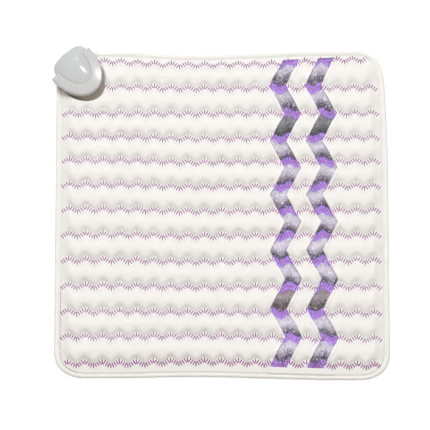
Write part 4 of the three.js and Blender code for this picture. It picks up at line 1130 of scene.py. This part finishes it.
def cutting_bar(start, end, radius, material, count=32):
    """A round bar to cut with, on the unit's own axes."""
    start, end = Vector(start), Vector(end)
    turn = (end - start).to_track_quat("Z", "Y")
    points = []
    for place in (start, end):
        for k in range(count):
            a = 2 * math.pi * k / count
            points.append(tuple(place + turn @ Vector((radius * math.cos(a), radius * math.sin(a), 0))))
    faces = [(k, (k + 1) % count, count + (k + 1) % count, count + k) for k in range(count)]
    faces += [tuple(range(count - 1, -1, -1)), tuple(range(count, 2 * count))]
    return mesh_piece("cutter", in_mat(points), faces, material)


foot_shares = np.linspace(0, 1, 12)
wall_half = curve_through((0.0367, 0.0368, 0.0372, 0.0379), foot_shares)
wall_long = curve_through((0.0653, 0.0630, 0.0604, 0.0583), foot_shares)
wall_level = curve_through((0.0093, 0.0130, 0.0165, 0.0194), foot_shares)
wall_power = curve_through((foot_power, 2.27, 2.3, rim_power), foot_shares)
lower_rings = [outline(0.0361, 0.0650, foot_height, power=foot_power),
               outline(0.0366, 0.0655, foot_height + 0.0005, power=foot_power),
               outline(foot_half_width, foot_length, foot_height + 0.0012, power=foot_power)]
lower_rings += [outline(h, l, z, power=p) for h, l, z, p in zip(wall_half, wall_long, wall_level, wall_power)]
lower_rings += [outline(rim_half_width, rim_length, 0.0198, power=rim_power),
                outline(rim_half_width - 0.0003, rim_length - 0.0003, parting, power=rim_power)]
inside = [(rim_half_width, rim_length, parting, rim_power)] + [
    (h, l, z, p) for h, l, z, p in zip(wall_half[::-1], wall_long[::-1], wall_level[::-1], wall_power[::-1])
    if z > 0.0106]
lower_rings += [outline(h - shell_wall, l - shell_wall, z, shell_wall, p) for h, l, z, p in inside]
lower_rings.append(outline(0.0345, 0.0628, 0.0095, shell_wall, foot_power))
lower_faces = [f[::-1] for f in ring_faces(len(lower_rings), outline_count)]
lower_faces.append(list(range(outline_count)))
last = (len(lower_rings) - 1) * outline_count
lower_faces.append([last + i for i in range(outline_count - 1, -1, -1)])
dock_lower = mesh_piece("dock_lower_half", in_mat(np.concatenate(lower_rings)),
                        [f[::-1] for f in lower_faces], shell_lower_painted_shade)
mouth_half = head_half_width + 0.002 + 2 * slit
screws = ((0.027, 0.0275), (0.027, -0.0275), (0.051, 0.0175), (0.051, -0.0175))
screw_hole, hole_low, hole_high = 0.0019, 0.003, 0.0145
carved(dock_lower, cutting_box((-0.005, -mouth_half, 0.0096), (0.0072, mouth_half, 0.03), shell_lower_painted_shade),
       cutting_box((0.0525, -0.0045, hole_low), (0.060, 0.0045, hole_high), shell_lower_painted_shade),
       *[cutting_bar((u, v, hole_low), (u, v, hole_high), screw_hole, shell_lower_painted_shade) for u, v in screws])
belongs(dock_lower, "mat", "shell_plastic", "dock_lower_shell")

upper_start = parting + slit
shoulder_round = 0.0030
shoulder_drop = 0.0017
shoulder_draw = 0.0009
crown_half, crown_long = head_half_width + 0.0026, head_length + 0.0026
pocket_half, pocket_long = head_half_width + slit, head_length + slit
upper_rings = [outline(rim_half_width - 0.0004, rim_length - 0.0004, upper_start, power=rim_power),
               outline(rim_half_width - 0.0001, rim_length - 0.0001, upper_start + 0.0003, power=rim_power)]
shoulder = [(0.0, z) for z in np.linspace(0.0212, crown - shoulder_drop - shoulder_round, 6)]
shoulder += [(shoulder_round * (1 - math.cos(a)), crown - shoulder_drop + shoulder_round * (math.sin(a) - 1))
             for a in np.linspace(0.12, 1.41, 12)]
for inset, level in shoulder:
    slant = shoulder_draw * (level - upper_start) / (crown - upper_start)
    upper_rings.append(outline(rim_half_width - inset - 0.3 * slant, rim_length - inset - slant, level,
                               power=rim_power))
edge_ring = upper_rings[-1]
inner_ring = outline(crown_half, crown_long, crown, power=2.15)
for share in np.linspace(0.1, 1, 10):
    sloped = edge_ring + (inner_ring - edge_ring) * share
    sloped[:, 2] = edge_ring[:, 2] + (crown - edge_ring[:, 2]) * (1 - (1 - share) ** 1.1)
    upper_rings.append(sloped)
crown_ring = upper_rings[-1]
pocket_ring = outline(pocket_half, pocket_long, crown, power=2.0)
for share, drop in ((0.35, 0.0), (0.7, 0.0), (0.85, 0.00004), (0.95, 0.00015), (1.0, 0.0004)):
    mixed = crown_ring + (pocket_ring - crown_ring) * share
    mixed[:, 2] = crown - drop
    upper_rings.append(mixed)
upper_rings.append(outline(pocket_half, pocket_long, upper_start, power=2.0))
upper_rings.append(outline(pocket_half + 0.002, pocket_long + 0.002, upper_start, power=2.0))
upper_rings.append(outline(pocket_half + 0.002, pocket_long + 0.002, 0.0212, power=2.0))
upper_rings.append(outline(rim_half_width - shell_wall, rim_length - shell_wall, 0.0212, power=rim_power))
upper_rings.append(outline(rim_half_width - shell_wall, rim_length - shell_wall, upper_start, power=rim_power))
upper_faces = ring_faces(len(upper_rings), outline_count, closed_ring=False, loop=True)
upper_faces.append([k * outline_count for k in range(len(upper_rings))])
upper_faces.append([k * outline_count + outline_count - 1 for k in range(len(upper_rings) - 1, -1, -1)])
dock_upper = mesh_piece("dock_upper_half", in_mat(np.concatenate(upper_rings)), upper_faces, shell_plastic, 38)
belongs(dock_upper, "mat", "shell_plastic", "dock_upper_shell")

# Head
# The domed plug end, in two snapped halves of a slightly darker grey. It fills the dock's
# pocket, and its wide lobe stands out past the mat's corner with the soft gland for a cord.
lobe_depth, lobe_half_width, lobe_power, lobe_shift = 0.0173, 0.0303, 2.8, 0.0024
head_split = 0.0225
head_middle = (0.0045, 0.0026)
head_steps = 240
dome_top, dome_edge, dome_power = 0.0360, 0.0306, 2.2
lobe_start, lobe_blend, lobe_fall, lobe_more_power = 0.006, 0.020, 0.0032, 0.4
lobe_rounding, lobe_rounding_width = 0.0013, 0.0035
head_floor, lobe_sag = 0.0126, 0.0006


def inside_head(u, v):
    """True inside the head's plan: a half ellipse in the dock and a wider, fuller lobe outside it."""
    plug = (u / head_length) ** 2 + (v / head_half_width) ** 2 < 1
    lobe = np.abs(u / lobe_depth) ** lobe_power + np.abs((v - lobe_shift) / lobe_half_width) ** lobe_power < 1
    return np.where(u >= 0, plug, lobe)


def head_outline(angle):
    """Distance from the head's middle to its outline in a direction."""
    c, s = math.cos(angle), math.sin(angle)
    reaches = np.arange(0.0, 0.06, 0.0002)
    near = reaches[np.nonzero(inside_head(head_middle[0] + reaches * c, reaches * s))[0][-1]]
    far = near + 0.0002
    for _ in range(16):
        middle = (near + far) / 2
        near, far = (middle, far) if inside_head(head_middle[0] + middle * c, middle * s) else (near, middle)
    return near


head_angles = [2 * math.pi * k / head_steps for k in range(head_steps)]
head_reach = np.array([head_outline(a) for a in head_angles])
head_cos, head_sin = np.cos(head_angles), np.sin(head_angles)
behind = eased((0.004 - (head_middle[0] + head_reach * head_cos)) / 0.004)
bell = np.exp(-(np.arange(-24, 25) / 9.0) ** 2)
smooth_reach = np.convolve(np.concatenate([head_reach[-24:], head_reach, head_reach[:24]]), bell / bell.sum(), "valid")


def head_ring(draw, level):
    """One ring of the head, drawn in from its outline; the level may differ round it."""
    reach = np.maximum(head_reach - draw, 0.0002)
    return np.stack([head_middle[0] + reach * head_cos, reach * head_sin, level + 0 * reach], -1)


def dome_ring(share, inset):
    """A ring of the domed top. Share 0 is the outline and 1 is the middle."""
    span = head_reach - inset
    reach = span * (1 - share)
    u = head_middle[0] + reach * head_cos
    lobe = eased((lobe_start - u) / lobe_blend)
    edge = dome_edge - lobe_fall * lobe
    rise = 1 - np.minimum(reach / smooth_reach, 1.08) ** (dome_power + lobe_more_power * lobe)
    rounding = lobe_rounding * lobe * (1 - np.clip(span * share / lobe_rounding_width, 0, 1)) ** 2.5
    level = edge + (dome_top - edge) * rise - rounding - inset
    return np.stack([u, reach * head_sin, level], -1)


head_wall = 0.002
dome_shares = np.array([0, 0.004, 0.012, 0.025, 0.045, 0.07, 0.1, 0.14, 0.19, 0.25, 0.32, 0.4, 0.5, 0.6, 0.72, 0.84,
                        0.94, 0.99])
top_rings = [head_ring(0.0003, head_split + slit)]
top_edge = dome_ring(0, 0)
for share in (0.08, 0.5, 0.9):
    ring = head_ring(0, 0.0)
    ring[:, 2] = head_split + slit + (top_edge[:, 2] - head_split - slit) * share
    top_rings.append(ring)
top_rings += [dome_ring(s, 0) for s in dome_shares]
inner_top = [dome_ring(s, head_wall) for s in dome_shares[::-1]]
low_inner = head_ring(head_wall, head_split + slit)
count = head_steps
outer_points = np.concatenate(top_rings)
inner_points = np.concatenate(inner_top + [low_inner])
top_faces = ring_faces(len(top_rings), count)
top_faces.append([(len(top_rings) - 1) * count + i for i in range(count)])
offset = len(outer_points)
top_faces += [tuple(offset + i for i in f) for f in ring_faces(len(inner_top) + 1, count)]
top_faces.append([offset + i for i in range(count - 1, -1, -1)])
last = offset + len(inner_top) * count
top_faces += [(last + i, last + (i + 1) % count, (i + 1) % count, i) for i in range(count)]
head_top = mesh_piece("head_dome_half", in_mat(np.concatenate([outer_points, inner_points])), top_faces,
                      head_plastic, 45)

under_level = head_floor - lobe_sag * behind
low_rings = [head_ring(0.0030, under_level), head_ring(0.0012, under_level + 0.0004),
             head_ring(0.0003, under_level + 0.0013), head_ring(0.0, under_level + 0.0026)]
low_rings += [head_ring(0.0, z) for z in (0.0175, 0.0200, head_split - 0.0003)]
low_rings.append(head_ring(0.0003, head_split))
low_rings.append(head_ring(head_wall, head_split))
low_rings += [head_ring(head_wall, 0.0165), head_ring(head_wall + 0.0008, 0.0146)]
low_points = np.concatenate(low_rings)
low_faces = ring_faces(len(low_rings), count)
low_faces.append([i for i in range(count - 1, -1, -1)])
low_faces.append([(len(low_rings) - 1) * count + i for i in range(count)])
head_low = mesh_piece("head_lower_half", in_mat(low_points), low_faces, head_plastic, 45)

gland_level = head_split + slit / 2
gland_neck = 0.0034
for shell in (head_top, head_low):
    cutters = [cutting_bar((-0.024, 0, gland_level), (-0.0086, 0, gland_level), gland_neck + slit, head_plastic)]
    if shell is head_low:
        cutters.append(cutting_box((0.0287, -0.0105, 0.015), (0.045, 0.0105, 0.019), head_plastic))
        cutters += [cutting_bar((0.004, v, 0.0133), (0.004, v, head_split + 0.01), screw_hole, head_plastic)
                    for v in (0.010, -0.010)]
    carved(shell, *cutters)
belongs(head_top, "head", "head_plastic", "head_upper_shell")
belongs(head_low, "head", "head_plastic", "head_lower_shell")

# Cord gland
# A soft grey ring set in the split line of the head's lobe, where a supply cord enters.
gland_rubber = plastic_material("gland_rubber", (0.45, 0.46, 0.475), (0.49, 0.50, 0.515), 0.55)
outside_face = -lobe_depth - 0.0008
gland_profile = ((outside_face, 0.0026), (outside_face, 0.0034), (outside_face + 0.0002, 0.0037),
                 (outside_face + 0.0005, 0.0038), (outside_face + 0.0007, 0.0037), (outside_face + 0.0008, gland_neck),
                 (-lobe_depth + 0.0049, gland_neck), (-lobe_depth + 0.0049, 0.0026))
gland_sides = 40
gland_points = []
for u, r in gland_profile:
    for k in range(gland_sides):
        a = 2 * math.pi * k / gland_sides
        gland_points.append((u, r * math.cos(a), gland_level + r * math.sin(a)))
gland = mesh_piece("cord_gland_ring", in_mat(gland_points),
                   [f[::-1] for f in ring_faces(len(gland_profile), gland_sides, loop=True)], gland_rubber, 40)
belongs(gland, "head", "gland_rubber", "head_cord_gland")

# Inner parts
# The felt, wire, leads, clamp plate, contacts, board and screws keep their modelled shapes and
# get their finishes here: needled felt, extruded jackets, moulded plastic, laminate and metal.
felt = cloth_material("felt", (0.55, 0.54, 0.52), (0.66, 0.65, 0.62), 0.9, 4000.0, 0.0002, 300.0, Sheen_Weight=0.3)
inner_plastic = plastic_material("inner_plastic", (0.44, 0.45, 0.47), (0.49, 0.50, 0.52), 0.45)
black_plastic = plastic_material("black_plastic", (0.022, 0.022, 0.025), (0.035, 0.035, 0.038), 0.45)
wire_jacket = plastic_material("wire_jacket", (0.78, 0.74, 0.62), (0.84, 0.80, 0.69), 0.45)
red_jacket = plastic_material("red_jacket", (0.40, 0.035, 0.025), (0.50, 0.055, 0.04), 0.45)
board_laminate = plastic_material("board_laminate", (0.018, 0.10, 0.045), (0.03, 0.15, 0.07), 0.4)


def metal_material(name, dark, light, roughness):
    """Plated metal with fine brushing."""
    return uneven_material(name, dark, light, roughness, 400.0, 1500.0, roughness - 0.08, roughness + 0.1,
                           Metallic=1.0)[0]


contact_brass = metal_material("contact_brass", (0.62, 0.44, 0.15), (0.76, 0.58, 0.24), 0.28)
screw_steel = metal_material("screw_steel", (0.50, 0.51, 0.53), (0.62, 0.63, 0.65), 0.32)
finishes = {
    "insulation_felt": felt,
    "heating_wire": wire_jacket,
    "supply_crimp": screw_steel,
    "thermal_cutoff": black_plastic,
    "supply_lead": red_jacket,
    "return_crimp": screw_steel,
    "return_lead": wire_jacket,
    "temperature_sensor": black_plastic,
    "sensor_lead": gland_rubber,
    "clamp_plate": inner_plastic,
    "dock_socket_tray": inner_plastic,
    "dock_contact_block": black_plastic,
    "head_contact_block": black_plastic,
    "head_circuit_board": board_laminate,
    **{f"contact_pin_{k}": contact_brass for k in (1, 2, 3)},
    **{f"dock_screw_{k}": screw_steel for k in (1, 2, 3, 4)},
    **{f"board_screw_{k}": screw_steel for k in (1, 2)},
}
for node, finish in finishes.items():
    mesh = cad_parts[node].data
    mesh.materials.clear()
    mesh.materials.append(finish)
